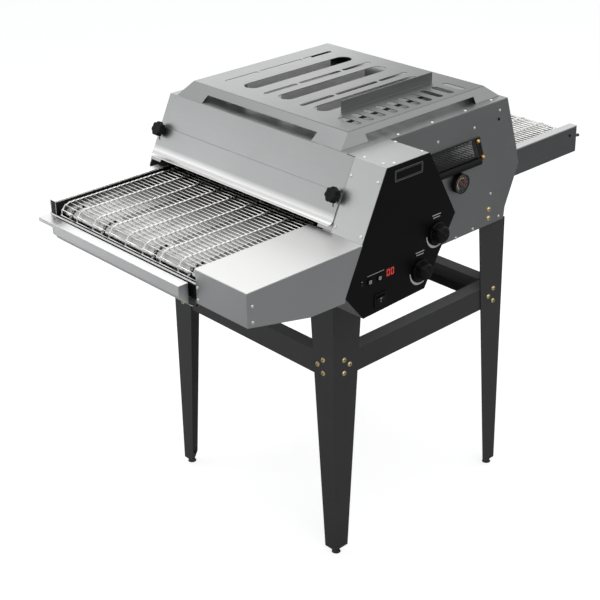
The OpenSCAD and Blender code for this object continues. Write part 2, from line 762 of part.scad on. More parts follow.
// Side member: web along the whole belt, runner at the in-feed end, folded channel where the belt lies open
module conveyor_side(side) {
  web = side < 0 ? front_in : rear_in;
  in_end = in_mid_x - 1;
  out_start = out_mid_x + 1;
  boss_r = shaft_r + 2;
  placed("#b5b7b8") translate([0, web, 0]) scale([1, side, 1]) difference() {
    union() {
      along_y(0, side_t) polygon([[conv_x0, runner_z], [in_end, runner_z], [in_end, side_low],
        [conv_x1, side_low], [conv_x1, side_top], [conv_x0, side_top]]);
      block([conv_x0, -runner_w, runner_z], [in_end, 0, runner_z + side_t]);
      if (side > 0) folded_channel(conv_x0, in_end);
      folded_channel(out_start, conv_x1);
      block([conv_x1 - side_t, side_t, side_low], [conv_x1, cap_w - side_t, side_top - side_t]);
    }
    for (x = [drive_x, idler_x]) pin_y(x, axle_z, boss_r, -cut, side_t + cut);
    translate([conv_x1 - side_t - cut, (cap_w + side_t) / 2, axle_z]) rotate([0, 90, 0])
      cylinder(r = bolt_r + bolt_fit, h = side_t + 2 * cut, $fn = round_fn);
  }
}

// Top flange and outer web of a side member between two places
module folded_channel(x0, x1) {
  block([x0, side_t, side_top - side_t], [x1, cap_w, side_top]);
  block([x0, cap_w - side_t, side_low], [x1, cap_w, side_top - side_t]);
}

module conveyor_side_front() { conveyor_side(-1); }
module conveyor_side_rear() { conveyor_side(1); }

// Cross plate with a rolled upper edge at an end of the conveyor
module end_plate(x0, out, y0, y1) {
  top = side_low + end_plate_h;
  bead_r = 2.5;
  placed("#aeb0b2") {
    block([x0, y0, side_low], [x0 + sheet_t, y1, top]);
    pin_y(x0 + sheet_t / 2 + out * (bead_r - sheet_t / 2), top, bead_r, y0, y1, round_fn);
  }
}

module infeed_end_plate() { end_plate(conv_x0 - sheet_t, -1, front_in - side_t, rear_out - side_t); }
module outfeed_end_plate() { end_plate(conv_x1, 1, front_in - side_t, rear_in + side_t); }

// Bars under the upper run on cross rods, landing plates between them outside the body that curve down round
// the shafts and have slots for the toothed wheels, and rods under the return run
module belt_supports() {
  bar_top = belt_z - wire_r - slide_fit;
  rod_z = bar_top - bar_h;
  x0 = drive_x + belt_r + 12;
  x1 = idler_x - belt_r - 12;
  return_rod_z = return_z - wire_r - slide_fit - rod_r;
  plate_z = bar_top - plate_drop;
  nose_r = plate_z - axle_z;
  nose_turn = 85;
  slot_half = max(sqrt(pow(wheel_tip, 2) - pow(nose_r - sheet_t, 2)), nose_r) + 2;
  placed("#9da0a2") {
    union() {
      for (i = [0:3]) translate([0, wheel_y[i], 0])
        block([x0, -bar_w / 2, rod_z - rod_r / 2], [x1, bar_w / 2, bar_top]);
      for (i = [0:3]) pin_y(x0 + 20 + (x1 - x0 - 40) * i / 3, rod_z, rod_r, front_in, rear_in, round_fn);
      difference() {
        for (p = [[drive_x, in_mid_x, 90 + nose_turn], [idler_x, out_mid_x, 90 - nose_turn]])
          along_y(front_in + bolt_fit, rear_in - bolt_fit) polygon(concat([[p[1], plate_z]],
            arc([p[0], axle_z], nose_r, 90, p[2], 10), arc([p[0], axle_z], nose_r - sheet_t, p[2], 90, 10),
            [[p[1], plate_z - sheet_t]]));
        for (x = [drive_x, idler_x]) for (y = wheel_y)
          block([x - slot_half, y - wheel_t, axle_z], [x + slot_half, y + wheel_t, plate_z + cut]);
      }
    }
    for (i = [0:3])
      pin_y(x0 + 60 + (x1 - x0 - 120) * i / 3, return_rod_z, rod_r, front_in, rear_in, round_fn);
  }
}

// One strand of the belt: a wire across it with a link finger in each row towards the next strand
module belt_strand(linked) {
  w = belt_w / 2;
  tip = linked ? belt_pitch - wire_r - link_fit : wire_r;
  rows = [for (k = [0:link_rows - 1]) let (y = -w + k * row_pitch)
    each [[wire_r, y], [tip, y], [tip, y + wire_d], [wire_r, y + wire_d]]];
  teeth = [for (i = [1:len(rows) - 2]) rows[i]];
  plain = [[wire_r, -w], [wire_r, w]];
  linear_extrude(wire_d) polygon(concat([[-wire_r, -w]], linked ? teeth : plain, [[-wire_r, w]]));
}

// Straight run of the belt between the two shafts at a height
module belt_run(z) {
  placed("#c9cbcc") for (i = [0:belt_gaps]) translate([drive_x + i * belt_pitch, belt_offset, z - wire_r])
    belt_strand(i < belt_gaps);
}

module belt_upper_run() { belt_run(belt_z); }
module belt_return_run() { belt_run(return_z); }

// Half turn of the belt round a shaft: strands across and a bent link in each row
module belt_wrap(x, end) {
  step = 360 / wheel_teeth;
  n = wheel_teeth / 2;
  f = wire_r / (belt_r * sin(step));
  ring = function (r) [for (i = [0:n]) let (a = 90 + i * step, p = r * [cos(a), sin(a)],
    q = r * [cos(a + (i == 0 ? step : -step)), sin(a + (i == 0 ? step : -step))])
    i == 0 || i == n ? p + (q - p) * f : p];
  inner = ring(belt_r - wire_r);
  band = concat(ring(belt_r + wire_r), [for (i = [n:-1:0]) inner[i]]);
  placed("#c9cbcc") translate([x, belt_offset, axle_z]) scale([-end, 1, 1]) union() {
    for (k = [0:link_rows - 1]) let (y = -belt_w / 2 + k * row_pitch) along_y(y, y + wire_d) polygon(band);
    for (i = [1:n - 1]) let (a = 90 + i * step)
      pin_y(belt_r * cos(a), belt_r * sin(a), wire_r * 1.08, -belt_w / 2, belt_w / 2, 8);
  }
}

module belt_infeed_wrap() { belt_wrap(drive_x, -1); }
module belt_outfeed_wrap() { belt_wrap(idler_x, 1); }

// Shaft with the four toothed wheels that carry the belt
module belt_shaft(x, y0, y1) {
  translate([x, 0, axle_z]) {
    pin_y(0, 0, shaft_r, y0, y1);
    for (y = wheel_y) {
      along_y(y - wheel_t / 2, y + wheel_t / 2)
        polygon(wheel_outline(wheel_teeth, wheel_tip, wheel_tip - 5));
      pin_y(0, 0, shaft_r + 5, y - wheel_t, y + wheel_t);
    }
  }
}

module drive_shaft() {
  placed("#8b8e90") union() {
    belt_shaft(drive_x, chain_y - chain_w / 2 - 4, rear_in + side_t + bearing_t + 3);
    translate([drive_x, 0, axle_z]) along_y(chain_y - chain_w / 2, chain_y + chain_w / 2)
      polygon(wheel_outline(18, driven_r, driven_r - 4));
  }
}

module idler_shaft() {
  placed("#8b8e90") union()
    belt_shaft(idler_x, front_in - side_t - bearing_t - 3, rear_in + side_t + bearing_t + 3);
}

// Flanged bearing housings on the outside of the side members
module shaft_bearings() {
  spigot = 1.6;
  placed("#5f6264") for (x = [drive_x, idler_x]) for (side = [-1, 1]) {
    web = side < 0 ? front_in - side_t : rear_in + side_t;
    translate([0, web, 0]) scale([1, side, 1]) difference() {
      union() {
        pin_y(x, axle_z, bearing_r, 0, bearing_t);
        pin_y(x, axle_z, shaft_r + 2 - bolt_fit, -spigot, bearing_t);
      }
      pin_y(x, axle_z, shaft_r + run_fit, -spigot - cut, bearing_t + cut);
    }
  }
}

// Screws with lock nuts through the out-feed ends of the side members that push the idler bearings
module belt_tensioners() {
  x0 = idler_x + bearing_r;
  head_h = 4;
  placed("#c7c9ca") for (side = [-1, 1]) {
    web = side < 0 ? front_in : rear_in;
    y = web + side * (cap_w + side_t) / 2;
    translate([x0 + bolt_fit, y, axle_z]) rotate([0, 90, 0]) {
      cylinder(r = bolt_r, h = conv_x1 - x0 + screw_reach - head_h / 2, $fn = round_fn);
      for (at = [0, screw_reach - head_h]) translate([0, 0, conv_x1 - x0 + at])
        cylinder(r = bolt_r * 1.8, h = head_h, $fn = 6);
    }
  }
}

// Gearbox and motor behind the drive cover
module gearmotor() {
  h = gearbox_w - 4;
  bore_l = 20;
  placed("#4d5052") difference() {
    union() {
      block([motor_x - gearbox_w / 2, motor_face - gearbox_d, axle_z - h / 2],
        [motor_x + gearbox_w / 2, motor_face, axle_z + h / 2]);
      pin_y(motor_x, axle_z, motor_r, motor_face - gearbox_d - motor_l, motor_face - gearbox_d);
      pin_y(motor_x, axle_z, 11, motor_face - gearbox_d - cut, motor_face + 3);
    }
    pin_y(motor_x, axle_z, spindle_r + 3 + run_fit, motor_face - bore_l, motor_face + 3 + cut);
  }
}

// Angle bracket from the front side member to the gearbox
module motor_bracket() {
  half = gearbox_w / 2 + 6;
  low = side_low;
  web = front_in - side_t;
  placed("#8f9294") difference() {
    union() {
      block([motor_x - half, motor_face, low], [motor_x + half, motor_face + 3, axle_z + gearbox_w / 2 - 4]);
      block([motor_x - half, motor_face, low], [motor_x + half, web, low + 3]);
      block([motor_x - half, web - 3, low], [motor_x + half, web, low + 9]);
    }
    pin_y(motor_x, axle_z, 11 + bolt_fit, motor_face - cut, motor_face + 3 + cut);
  }
}

// Motor output shaft with its sprocket
module motor_sprocket() {
  r = spindle_r + 3;
  placed("#8b8e90") union() {
    pin_y(motor_x, axle_z, r, motor_face - 19, chain_y + chain_w / 2 + 4);
    translate([motor_x, 0, axle_z]) along_y(chain_y - chain_w / 2, chain_y + chain_w / 2)
      polygon(wheel_outline(12, driver_r, driver_r - 4));
  }
}

// Roller chain round the two sprockets
module drive_chain() {
  outer = chain_loop(slide_fit + chain_h);
  inner = chain_loop(slide_fit);
  n = len(outer);
  placed("#6b6e70") translate([drive_x, 0, axle_z]) along_y(chain_y - chain_w / 2, chain_y + chain_w / 2)
    polygon(concat(outer, inner), [[for (i = [0:n - 1]) i], [for (i = [0:n - 1]) n + i]]);
}

// Box over the drive beside the in-feed belt, open below
module drive_cover() {
  x0 = conv_x0 - sheet_t - 3;
  low = side_low - 5;
  deep = runner_z - 28;
  slope_x = function (z) -deck_half - in_slope * (top_z - z) - slide_fit;
  end_y = front_in - side_t - 1;
  plate = [[x0, low], [x0 + 165, deep + 3], [slope_x(heel_z), deep], [slope_x(heel_z), heel_z],
    [slope_x(side_top), side_top], [x0, side_top]];
  placed("#c4c6c7") {
    along_y(cover_y, cover_y + sheet_t) polygon(plate);
    along_y(cover_y, front_in) polygon([[x0, side_top], [slope_x(side_top), side_top],
      [slope_x(side_top + sheet_t), side_top + sheet_t], [x0, side_top + sheet_t]]);
    block([x0, cover_y + sheet_t, low], [x0 + sheet_t, end_y, side_top]);
  }
}

// Sliding tray with a folded handle lip across the in-feed end
module crumb_tray() {
  t = 1.2;
  z0 = runner_z + side_t + 0.2;
  x0 = tray_x;
  y0 = front_in + 6;
  y1 = rear_in - 6;
  lip_top = runner_z + lip_h;
  lip_y0 = front_in + 16;
  lip_y1 = rear_in - 33;
  face_h = 24;
  lip = [[x0, z0], [x0 - lip_reach, lip_top - face_h], [x0 - lip_reach, lip_top], [x0, lip_top]];
  placed("#b9bbbc") {
    block([x0, y0, z0], [x0 + tray_l, y1, z0 + t]);
    for (y = [y0, y1 - t]) block([x0 + 10, y, z0 + t], [x0 + tray_l, y + t, z0 + tray_h]);
    block([x0 + tray_l - t, y0 + t, z0 + t], [x0 + tray_l, y1 - t, z0 + tray_h]);
    difference() {
      along_y(lip_y0, lip_y1) polygon(lip);
      along_y(lip_y0 + t, lip_y1 + cut) polygon([[x0 + cut, z0 + 1.6 * t], [x0 - t, z0 + 1.6 * t],
        [x0 - lip_reach + t, lip_top - face_h + t * 0.6], [x0 - lip_reach + t, lip_top - t],
        [x0 + cut, lip_top - t]]);
    }
    block([x0 - lip_reach, lip_y1, lip_top - t], [x0, rear_out - 2, lip_top]);
    block([x0 - lip_reach, lip_y1, lip_top - 9], [x0 - lip_reach + t, rear_out - 2, lip_top - t]);
  }
}

// Heat flap: flat plate on the slope with a curled or a plain lower edge and two clamp slots
module flap(end, l, tail, stud, y, clamp, curled) {
  t = sheet_t;
  w0 = slide_fit;
  c = [tail - curl_r, w0 + t + curl_r];
  edge = curled ? concat(arc(c, curl_r + t, -90, -12, 10), arc(c, curl_r, -12, -90, 10))
    : [[tail, w0], [tail, w0 + t]];
  outline = concat([[tail - l, w0]], edge, [[tail - l, w0 + t]]);
  y_low = min(end * y[0], end * y[1]);
  y_high = max(end * y[0], end * y[1]);
  placed("#a9acae") on_slope(end) difference() {
    along_y(y_low, y_high) polygon(outline);
    for (s = [y_low + clamp, y_high - clamp])
      slot_x(stud - stud_r - bolt_fit, stud + flap_travel + stud_r + bolt_fit, s, -cut,
        2 * (stud_r + bolt_fit), t + w0 + 2 * cut);
  }
}

module infeed_flap() { flap(-1, in_flap_l, in_flap_end, in_stud, in_flap_y, clamp_inset, true); }
module outfeed_flap() {
  flap(1, out_flap_l, out_flap_end, out_stud, out_flap_y, out_clamp_inset, false);
}

// Lobed clamp knob with its stud through the flap and the end face
module clamp_knob(end, stud, y) {
  base = slide_fit + sheet_t + bolt_fit;
  lobes = 7;
  neck = 7;
  placed("#1d1d1f") on_slope(end) translate([stud, end * y, 0]) union() {
    translate([0, 0, -stud_l]) cylinder(r = stud_r, h = stud_l + base + 2, $fn = round_fn);
    translate([0, 0, base]) cylinder(r = clamp_r * 0.6, h = neck + 1, $fn = round_fn);
    translate([0, 0, base + neck]) difference() {
      cylinder(r = clamp_r, h = clamp_t, $fn = round_fn);
      for (i = [0:lobes - 1]) rotate([0, 0, i * 360 / lobes]) translate([clamp_r * 1.14, 0, -cut])
        cylinder(r = clamp_r * 0.3, h = clamp_t + 2 * cut, $fn = round_fn);
    }
  }
}

module infeed_knob_front() { clamp_knob(-1, in_stud, in_flap_y[0] + clamp_inset); }
module infeed_knob_rear() { clamp_knob(-1, in_stud, in_flap_y[1] - clamp_inset); }
module outfeed_knob_front() { clamp_knob(1, out_stud, out_flap_y[0] + out_clamp_inset); }
module outfeed_knob_rear() { clamp_knob(1, out_stud, out_flap_y[1] - out_clamp_inset); }

// Folded shell of the control box on the front side panel
module control_box() {
  back = -body_half;
  front = box_y + front_t;
  placed("#a3a6a8") difference() {
    along_y(front, back) polygon(box_outline);
    along_y(front - cut, back + cut) polygon(inset(box_outline, sheet_t));
    on_slope(-1) block([-cut * 3, body_half - cut, -sheet_t - 3],
      [(top_z - mouth_in_z) * in_stretch + slide_fit, body_half + seam_lap + slide_fit, cut]);
  }
}

// Hole through the front panel at a place given from the belt
module panel_round(at, r) {
  pin_y(at[0], belt_z + at[1], r, box_y - cut, box_y + front_t + cut, round_fn);
}

module panel_rect(at, size) {
  translate([at[0] - size[0] / 2, box_y - cut, belt_z + at[1] - size[1] / 2])
    cube([size[0], front_t + 2 * cut, size[1]]);
}

// Black front panel with the openings for the controls and its bare framed plate
module control_panel() {
  hole = button_w + 2 * slide_fit;
  frame_t = 1;
  placed("#141416") {
    difference() {
      along_y(box_y, box_y + front_t) polygon(box_outline);
      for (at = [heat_at, speed_at]) panel_round(at, spindle_r + 1.5);
      for (at = [plus_at, minus_at]) panel_rect(at, [hole, hole]);
      panel_round(lamp_at, lamp_r + bolt_fit);
      panel_rect(display_at, display_size + [bolt_fit, bolt_fit] * 2);
      panel_rect(rocker_at, [rocker_w, rocker_h] - [5, 5]);
    }
    translate([plate_at[0] - plate_size[0] / 2, box_y - frame_t, belt_z + plate_at[1] - plate_size[1] / 2])
      cube([plate_size[0], frame_t, plate_size[1]]);
  }
}

// Control knob with a skirt, a grip and a pointer wing
module control_knob(at) {
  y = box_y - knob_gap;
  grip = dial_r * 0.78;
  placed("#161618") translate([at[0], y, belt_z + at[1]]) rotate([90, 0, 0]) union() {
    cylinder(r = dial_r, h = 5);
    cylinder(r1 = grip, r2 = grip * 0.9, h = dial_h);
    rotate([0, 0, 140]) translate([0, -3.5, 0]) cube([dial_r + 6, 7, dial_h * 0.7]);
    translate([0, 0, -front_t - 21]) cylinder(r = spindle_r, h = front_t + 22, $fn = round_fn);
  }
}

module heat_knob() { control_knob(heat_at); }
module speed_knob() { control_knob(speed_at); }

// Rotary switches behind the panel
module rotary_switches() {
  back = box_y + front_t;
  placed("#d7d2c4") for (at = [heat_at, speed_at]) difference() {
    union() {
      pin_y(at[0], belt_z + at[1], dial_r * 0.72, back, back + 30);
      translate([at[0] - 14, back + 30, belt_z + at[1] - 10]) cube([28, 9, 20]);
    }
    pin_y(at[0], belt_z + at[1], spindle_r + run_fit, back - cut, back + 22, round_fn);
  }
}

// Push button: cap in the panel opening, retaining flange and plunger behind it
module push_button(at) {
  w = button_w / 2;
  y = box_y + front_t;
  placed("#202022") translate([at[0], 0, belt_z + at[1]]) union() {
    block([-w, box_y - 2.5, -w], [w, y + 1, w]);
    block([-w - 1.5, y + 0.5, -w - 1.5], [w + 1.5, y + 2, w + 1.5]);
    block([-2, y + 2, -2], [2, y + 6, 2]);
  }
}

module plus_button() { push_button(plus_at); }
module minus_button() { push_button(minus_at); }

// Rocker switch frame on the panel, its body behind it
module switch_frame() {
  w = rocker_w / 2;
  h = rocker_h / 2;
  rim = 2;
  placed("#1a1a1c") translate([rocker_at[0], 0, belt_z + rocker_at[1]]) difference() {
    union() {
      block([-w, box_y - 2, -h], [w, box_y, h]);
      block([-w + 3, box_y, -h + 3], [w - 3, box_y + 26, h - 3]);
    }
    block([-w + 3 + rim, box_y - 2 - cut, -h + 3 + rim], [w - 3 - rim, box_y + 12, h - 3 - rim]);
    translate([-w, box_y + 3, 0]) rotate([0, 90, 0])
      cylinder(r = 1.5 + run_fit, h = rocker_w, $fn = round_fn);
  }
}

// Rocker on a pin across the frame, tilted to one side
module rocker() {
  w = rocker_w / 2 - 5 - slide_fit;
  h = rocker_h / 2 - 6.5;
  pin_r = 1.5;
  pin_l = w + slide_fit + 1.5;
  placed("#262628") translate([rocker_at[0], box_y + 3, belt_z + rocker_at[1]])
    rotate([rocker_tilt, 0, 0]) union() {
      along_x(-w, w) polygon([[-6.5, -h], [-5.2, 0], [-6.5, h], [2, h * 0.7], [3, 0], [2, -h * 0.7]]);
      translate([-pin_l, 0, 0]) rotate([0, 90, 0]) cylinder(r = pin_r, h = 2 * pin_l, $fn = round_fn);
    }
}

// Two-digit display and lamp on a board behind the panel, with the key switches
module display_module() {
  board_y = box_y + front_t + 14;
  x0 = lamp_at[0] - 8;
  x1 = display_at[0] + display_size[0] / 2 + 8;
  z = belt_z + display_at[1];
  half = 18;
  placed("#7d1418") {
    block([x0, board_y, z - half], [x1, board_y + 1.6, z + half]);
    translate([display_at[0] - display_size[0] / 2, box_y + 0.6, z - display_size[1] / 2])
      cube([display_size[0], board_y - box_y - 0.6, display_size[1]]);
    pin_y(lamp_at[0], belt_z + lamp_at[1], lamp_r, box_y - 1, board_y, round_fn);
    for (at = [plus_at, minus_at])
      translate([at[0] - 4, box_y + front_t + 6 + button_travel + bolt_fit, belt_z + at[1] - 4])
        cube([8, board_y - box_y - front_t - 6 - button_travel - bolt_fit, 8]);
    for (x = [x0 + 4, x1 - 4]) pin_y(x, z - half + 4, 2.5, box_y + front_t, board_y, round_fn);
  }
}

// Terminals and controller on the side panel inside the control box
module terminal_block() {
  first = (terminal_rail[0] - (terminal_count - 1) * terminal_pitch - terminal_size[0]) / 2;
  rise = (terminal_rail[2] - terminal_size[2]) / 2;
  placed("#cfd0c8") translate([-deck_half, -body_half, belt_z]) {
    translate([terminal_at[0], -terminal_rail[1], terminal_at[1]]) {
      cube(terminal_rail);
      for (i = [0:terminal_count - 1])
        translate([first + i * terminal_pitch, -terminal_size[1], rise]) cube(terminal_size);
    }
    translate([controller_at[0], -controller_size[1], controller_at[1]]) cube(controller_size);
  }
}

// Tinted pane over the window opening
module window_glass() {
  placed("#2b2f31", 0.7) difference() {
    along_y(-body_half - glass_t, -body_half) polygon([window_outline[0] + [-glass_lap, -glass_rise],
      window_outline[1] + [glass_lap, -glass_rise], window_outline[2] + [glass_lap, glass_rise],
      window_outline[3] + [-glass_lap, glass_rise]]);
    for (p = nut_at)
      pin_y(p[0], p[1], nut_stud_r + bolt_fit, -body_half - glass_t - cut, -body_half + cut, round_fn);
  }
}

// Rounded black ledge under the pane, lapping its lower edge
module window_sill() {
  r = 9;
  y = -body_half - glass_t - bolt_fit;
  z = window_z - glass_rise - bolt_fit;
  outline = concat([[-body_half, z - r], [y, z - r]], arc([y, z], r, -90, -260, 16),
    [[y, z], [-body_half, z]]);
  placed("#1b1b1d") along_x(window_x0, window_x0 + window_l - 2) polygon(outline);
}

// Domed nuts and studs that hold the pane
module dome_nuts() {
  y = -body_half - glass_t;
  placed("#b98a3c") for (p = nut_at) union() {
    pin_y(p[0], p[1], nut_stud_r, y - 3, -panel_in + 4, round_fn);
    translate([p[0], y, p[1]]) rotate([90, 0, 0]) cylinder(r = 6, h = 3, $fn = 6);
    translate([p[0], y - 3, p[1]]) rotate([90, 0, 0]) cylinder(r1 = 5, r2 = 2.2, h = 4, $fn = round_fn);
    pin_y(p[0], p[1], 4.5, -panel_in, -panel_in + 3, round_fn);
  }
}

// Thermometer case with its bezel, dial face, pin and stem
module thermometer() {
  y = -body_half;
  front = y - dial_case_t;
  placed("#1c1c1e") difference() {
    union() {
      pin_y(gauge_x, gauge_z, dial_case_r, front, y);
      pin_y(gauge_x, gauge_z, 4, y - cut, y + 26, round_fn);
    }
    pin_y(gauge_x, gauge_z, dial_case_r - 2.5, front - cut, front + 4);
    pin_y(gauge_x, gauge_z, needle_pin_r + run_fit, front, front + 8, round_fn);
  }
}

// Needle with its spindle in the dial
module thermometer_needle() {
  front = -body_half - dial_case_t;
  r = dial_case_r - 5;
  placed("#c8391f") translate([gauge_x, 0, gauge_z]) union() {
    pin_y(0, 0, needle_pin_r, front + 1, front + 7.5, round_fn);
    rotate([0, -40, 0]) block([-1, front + 1.5, -r * 0.3], [1, front + 2.5, r]);
  }
}

leg_infeed_front();
leg_infeed_rear();
leg_outfeed_front();
leg_outfeed_rear();
stand_rails_long();
stand_rails_cross();
stand_bolts();
levelling_feet();
chassis_rails();
base_pan();
side_panel_front();
side_panel_rear();
body_cover();
vent_cover();
upper_liner();
lower_liner();
insulation();
upper_heaters();
lower_heaters();
conveyor_side_front();
conveyor_side_rear();
infeed_end_plate();
outfeed_end_plate();
belt_supports();
belt_upper_run();
belt_return_run();
belt_infeed_wrap();
belt_outfeed_wrap();
drive_shaft();
idler_shaft();
shaft_bearings();
belt_tensioners();
gearmotor();
motor_bracket();
motor_sprocket();
drive_chain();
drive_cover();
crumb_tray();
infeed_flap();
outfeed_flap();
infeed_knob_front();
infeed_knob_rear();
outfeed_knob_front();
outfeed_knob_rear();
control_box();
control_panel();
heat_knob();
speed_knob();
rotary_switches();
plus_button();
minus_button();
switch_frame();
rocker();
display_module();
terminal_block();
window_glass();
window_sill();
dome_nuts();
thermometer();
thermometer_needle();
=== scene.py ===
"""Looks of a conveyor oven on an angle-leg stand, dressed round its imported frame.

Sizes are millimetres from the point on the floor under the middle of the oven body, with X along the belt
from the in-feed end to the out-feed end, -Y towards the control panel and Z up. Meshes are placed in metres
in the row frame, and the places that finishes use are metres in the row frame too.
"""
from __future__ import annotations

import logging
import math
from dataclasses import dataclass, field
from enum import Enum
from typing import Any, ClassVar, Iterable, Optional, Sequence, Union

import bpy
import numpy as np
from mathutils import Matrix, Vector
from numpy.typing import NDArray


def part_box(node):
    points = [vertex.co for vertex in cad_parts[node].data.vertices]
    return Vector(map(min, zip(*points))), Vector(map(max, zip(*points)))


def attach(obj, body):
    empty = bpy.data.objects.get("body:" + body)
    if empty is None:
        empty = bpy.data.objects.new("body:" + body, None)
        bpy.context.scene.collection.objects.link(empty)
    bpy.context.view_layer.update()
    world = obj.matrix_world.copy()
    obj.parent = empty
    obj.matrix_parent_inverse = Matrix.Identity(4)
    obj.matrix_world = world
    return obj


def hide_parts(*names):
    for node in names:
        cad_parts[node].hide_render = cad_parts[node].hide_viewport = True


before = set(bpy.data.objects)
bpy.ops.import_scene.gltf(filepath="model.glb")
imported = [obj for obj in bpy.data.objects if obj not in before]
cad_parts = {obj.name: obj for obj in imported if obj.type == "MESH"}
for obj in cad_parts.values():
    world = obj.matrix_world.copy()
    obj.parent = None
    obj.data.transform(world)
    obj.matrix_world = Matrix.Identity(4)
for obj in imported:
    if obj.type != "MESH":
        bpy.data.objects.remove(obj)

Array = NDArray[np.float64]
Point = tuple[float, float, float]
Place = tuple[float, float]
Colour = tuple[float, float, float]
Values = dict[Union[str, int], Any]
LOG = logging.getLogger("conveyor_oven")
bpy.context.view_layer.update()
MM = 0.001
ROOT = "oven"

# Half length of the deck, and the outward run of the two end faces per unit of height
DECK_HALF = 265.0
IN_SLOPE = 0.48
OUT_SLOPE = 0.31


# Surfaces


@dataclass
class Surface:
    """Points in millimetres and the quads and triangles between them."""

    points: Array
    quads: NDArray[np.int64]
    tris: NDArray[np.int64]

    @staticmethod
    def joined(parts: Iterable[Surface]) -> Surface:
        """Lay several surfaces side by side in one.

        Args:
            parts: The surfaces, at least one.

        Returns:
            One surface with every point and face.
        """
        parts = list(parts)
        shift = np.cumsum([0] + [len(p.points) for p in parts[:-1]])
        return Surface(np.concatenate([p.points for p in parts]),
                       np.concatenate([p.quads + s for p, s in zip(parts, shift)]),
                       np.concatenate([p.tris + s for p, s in zip(parts, shift)]))

    def at(self, spot: Spot) -> Surface:
        """The surface carried from a spot's own axes into the body's axes."""
        return Surface(self.points @ spot.axes().T + np.array(spot.at), self.quads, self.tris)

    def copied(self, turns: Array, moves: Array) -> Surface:
        """Rigid copies of the surface: each point p becomes turn @ p + move.

        Args:
            turns: Rotation matrices, (n, 3, 3).
            moves: Translations, (n, 3).

        Returns:
            One surface that holds the n copies.
        """
        n, m = len(moves), len(self.points)
        points = np.einsum("nij,mj->nmi", turns, self.points) + moves[:, None, :]
        step = (np.arange(n) * m)[:, None, None]
        return Surface(points.reshape(-1, 3), (self.quads[None] + step).reshape(-1, 4),
                       (self.tris[None] + step).reshape(-1, 3))


@dataclass(frozen=True)
class Spot:
    """A place with its own axes: the third axis points out, the first leans towards `up`."""

    at: Point
    out: Point
    up: Point = (0.0, 0.0, 1.0)

    def axes(self) -> Array:
        """The three unit axes as columns."""
        w = unit(np.array(self.out, float))
        u = unit(np.array(self.up, float) - (np.array(self.up, float) @ w) * w)
        return np.stack([u, np.cross(w, u), w], axis=1)


def unit(v: Array) -> Array:
    """Vectors divided by their lengths, along the last axis."""
    return v / np.linalg.norm(v, axis=-1, keepdims=True)


def loft(rings: Array, capped: bool = True) -> Surface:
    """Skin over a stack of closed rings, with a fan over each end.

    Args:
        rings: Ring points (n, m, 3), counter-clockwise seen from the far end.
        capped: Whether the two ends are closed.

    Returns:
        The skin, its faces pointing outwards.
    """
    n, m, _ = rings.shape
    i, j = np.arange(n - 1)[:, None], np.arange(m)[None, :]
    k = (j + 1) % m
    quads = np.stack([i * m + j, i * m + k, (i + 1) * m + k, (i + 1) * m + j], -1).reshape(-1, 4)
    points = rings.reshape(-1, 3)
    if not capped:
        return Surface(points, quads, np.zeros((0, 3), np.int64))
    j, k = np.arange(m), (np.arange(m) + 1) % m
    first, last = np.full(m, n * m), np.full(m, n * m + 1)
    tris = np.vstack([np.stack([first, k, j], -1), np.stack([last, (n - 1) * m + j, (n - 1) * m + k], -1)])
    return Surface(np.vstack([points, rings[0].mean(0), rings[-1].mean(0)]), quads, tris)


def circle(radius: float, sides: int) -> Array:
    """Points (sides, 2) on a circle: radius times (cos a, sin a)."""
    a = np.arange(sides) * 2 * math.pi / sides
    return radius * np.stack([np.cos(a), np.sin(a)], -1)


def rounded_rect(width: float, height: float, radius: float, steps: int = 4) -> Array:
    """Outline of a rectangle whose corners are quarter circles.

    Args:
        width: Full size along the first axis.
        height: Full size along the second axis.
        radius: Corner radius.
        steps: Facets in each corner.

    Returns:
        Points (4 * (steps + 1), 2), counter-clockwise.
    """
    a = np.linspace(0, math.pi / 2, steps + 1)[None, :] + (np.arange(4) * math.pi / 2)[:, None]
    corner = np.array([[1, 1], [-1, 1], [-1, -1], [1, -1]]) * (np.array([width, height]) / 2 - radius)
    return (corner[:, None, :] + radius * np.stack([np.cos(a), np.sin(a)], -1)).reshape(-1, 2)


def strip(depth: float, width: float) -> Array:
    """Outline (4, 2) of a rectangle about the origin, counter-clockwise."""
    return np.array([[-1, -1], [1, -1], [1, 1], [-1, 1]]) * [depth / 2, width / 2]


def closed(outline: Array) -> Array:
    """An outline with its first point again at its end."""
    return np.vstack([outline, outline[:1]])


def sweep(path: Array, section: Array, up: Point) -> Surface:
    """A section carried along a path, its first axis leaning towards `up`.

    Args:
        path: Points (n, 3).
        section: Outline (m, 2), or (n, m, 2) where it changes along the path.
        up: Direction that the section's first axis leans towards.

    Returns:
        The swept skin.
    """
    t = unit(np.gradient(path, axis=0))
    u = unit(np.array(up, float) - (t @ np.array(up, float))[:, None] * t)
    v = np.cross(t, u)
    section = np.broadcast_to(section, (len(path),) + section.shape[-2:])
    return loft(path[:, None] + section[..., :1] * u[:, None] + section[..., 1:] * v[:, None])


def stacked(outlines: Sequence[Array], heights: Sequence[float]) -> Surface:
    """Outlines (m, 2) stacked along the third axis at their heights, as one closed skin."""
    rings = [np.column_stack([o, np.full(len(o), h)]) for o, h in zip(outlines, heights)]
    return loft(np.stack(rings))


def turned(profile: Sequence[Place], sides: int = 32) -> Surface:
    """A profile of (radius, height) pairs turned about the third axis."""
    return stacked([circle(r, sides) for r, _ in profile], [h for _, h in profile])


def arc(centre: Place, radius: float, start: float, end: float, steps: int) -> Array:
    """Points (steps + 1, 2) on a circle between two angles in degrees."""
    a = np.radians(np.linspace(start, end, steps + 1))
    return np.array(centre) + radius * np.stack([np.cos(a), np.sin(a)], -1)


